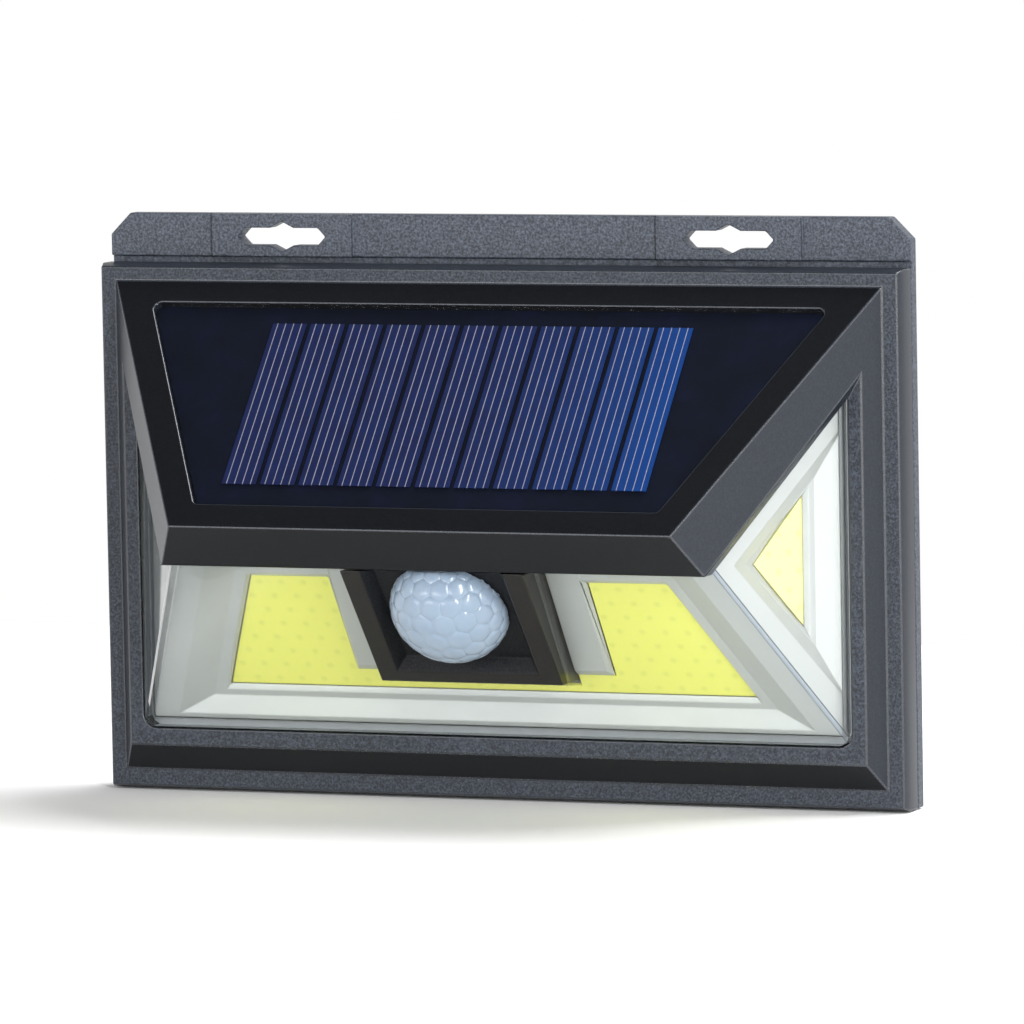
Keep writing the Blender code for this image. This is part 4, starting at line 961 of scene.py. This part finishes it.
class MakeElectrics(bpy.types.Operator):
    """Boards, battery, holder and leads inside the housing"""
    bl_idname = "flood_light.electrics"
    bl_label = "Inner parts"

    def execute(self, context):
        green = circuit_board("green_solder_mask", linear("#0c4a22"), linear("#1f6b38"))
        paint_nodes(green, "control_board", "sensor_board")
        for name, colour, fleck, grain_mm, relief_mm, roughness, nodes in (
                ("white_nylon", "#dcdad0", "#efeee8", 0.8, 0.01, 0.4,
                 ("battery_holder", "battery_connector", "solar_connector", "switch_body",
                  "switch_plunger")),
                ("shrink_film", "#1d5f96", "#2f76ad", 3.0, 0.01, 0.3, ("battery_cell",)),
                ("red_pvc_extruded", "#a51a16", "#c23a30", 1.0, 0.005, 0.4,
                 ("battery_lead_red", "solar_lead", "led_lead_low", "led_lead_right")),
                ("black_pvc_extruded", "#17181a", "#2a2b2e", 1.0, 0.005, 0.4,
                 ("battery_lead_black", "sensor_lead", "led_lead_left"))):
            paint_nodes(moulded_plastic(name, linear(colour), linear(fleck), grain_mm,
                                        relief_mm, roughness), *nodes)
        return {"FINISHED"}


class MakeStage(bpy.types.Operator):
    """Pale floor, soft studio lights and the camera"""
    bl_idname = "flood_light.stage"
    bl_label = "Stage"

    def execute(self, context):
        look = context.scene.flood_light.stage
        ground = CAD_BOX[0][2] - FLOOR_DROP
        shape = bmesh.new()
        bmesh.ops.create_grid(shape, x_segments=1, y_segments=1, size=FLOOR_HALF)
        bmesh.ops.translate(shape, vec=(0, FLOOR_MIDDLE, ground), verts=shape.verts)
        floor = new_piece("floor", mesh_of(shape, "floor"))
        made, tree, where = new_material("pale_paper")
        fibre = add_node(tree, "ShaderNodeTexNoise", {"Vector": where, "Scale": 400.0})
        gloss = add_node(tree, "ShaderNodeMapRange", {
            "Value": fibre.outputs["Fac"], "To Min": 0.85, "To Max": 0.95})
        surface(tree, add_node(tree, "ShaderNodeBsdfPrincipled", {
            "Base Color": full(look.floor), "Roughness": gloss.outputs[0],
            "Specular IOR Level": 0.1}))
        with_finishes(floor, made)
        self.surroundings(context.scene, look)
        for name, spot, aim, width, height, power in LIGHTS:
            self.light(name, Vector(spot), Vector(aim), width, height, power)
        self.camera(context.scene)
        return {"FINISHED"}

    @staticmethod
    def surroundings(scene, look):
        """White round the horizon and dimmer overhead, as under a studio ceiling."""
        world = bpy.data.worlds.new("studio")
        scene.world = world
        world.use_nodes = True
        tree = world.node_tree
        tree.nodes.clear()
        where = add_node(tree, "ShaderNodeTexCoord").outputs["Generated"]
        height = add_node(tree, "ShaderNodeSeparateXYZ", {0: where}).outputs["Z"]
        share = add_node(tree, "ShaderNodeMapRange", {
            "Value": height, "From Min": 0.35, "From Max": 0.8, "To Min": 1.0, "To Max": 0.04},
            interpolation_type="SMOOTHSTEP")
        back = add_node(tree, "ShaderNodeBackground", {
            "Color": full(look.sky), "Strength": share.outputs[0]})
        add_node(tree, "ShaderNodeOutputWorld", {"Surface": back.outputs[0]})
        scene.view_settings.view_transform = "Standard"

    @staticmethod
    def light(name, spot, aim, width, height, power):
        data = bpy.data.lights.new(name, "AREA")
        data.shape = "RECTANGLE"
        data.size = width
        data.size_y = height
        data.energy = power
        lamp = bpy.data.objects.new(name, data)
        lamp.location = spot
        lamp.rotation_euler = (aim - spot).to_track_quat("-Z", "Y").to_euler()
        bpy.context.scene.collection.objects.link(lamp)

    @staticmethod
    def camera(scene):
        """A long lens to the right of the lamp and a little above it."""
        yaw, pitch, roll = (math.radians(a) for a in CAMERA_TURN)
        target = Vector(CAMERA_TARGET) * MM
        ahead = Vector((-math.sin(yaw) * math.cos(pitch), math.cos(yaw) * math.cos(pitch),
                        -math.sin(pitch)))
        right = Vector((math.cos(yaw), math.sin(yaw), 0))
        up = right.cross(ahead)
        across = right * math.cos(roll) + up * math.sin(roll)
        upright = up * math.cos(roll) - right * math.sin(roll)
        data = bpy.data.cameras.new("camera")
        data.lens, data.sensor_width = CAMERA_LENS, 36.0
        data.clip_start = 0.05
        data.clip_end = 30.0
        camera = bpy.data.objects.new("camera", data)
        turn = Matrix((across, upright, -ahead)).transposed().to_4x4()
        turn.translation = target - ahead * CAMERA_DISTANCE
        camera.matrix_world = turn
        scene.collection.objects.link(camera)
        scene.camera = camera


OPERATORS = (MakeStage, MakeHousing, MakeLens, MakeLeds, MakeSensor, MakeSolar, MakeFittings,
             MakeElectrics)


class FloodLightPanel(bpy.types.Panel):
    bl_idname = "VIEW3D_PT_flood_light"
    bl_label = "Flood light"
    bl_space_type = "VIEW_3D"
    bl_region_type = "UI"
    bl_category = "Flood light"

    def draw(self, context):
        layout = self.layout
        looks = context.scene.flood_light
        for name in ("housing", "lens", "leds", "sensor", "solar", "fittings", "stage"):
            group = getattr(looks, name)
            box = layout.box()
            box.label(text=name.capitalize())
            for key in group.__annotations__:
                box.prop(group, key)
        for operator in OPERATORS:
            layout.operator(operator.bl_idname)


CLASSES = (HousingLook, LensLook, LedLook, SensorLook, SolarLook, FittingLook, StageLook,
           FloodLight, *OPERATORS, FloodLightPanel)


def register():
    for made in CLASSES:
        bpy.utils.register_class(made)
    bpy.types.Scene.flood_light = PointerProperty(type=FloodLight)


def unregister():
    del bpy.types.Scene.flood_light
    for made in reversed(CLASSES):
        bpy.utils.unregister_class(made)


def main():
    register()
    for operator in OPERATORS:
        group, name = operator.bl_idname.split(".")
        getattr(getattr(bpy.ops, group), name)()


if __name__ == "__main__":
    main()
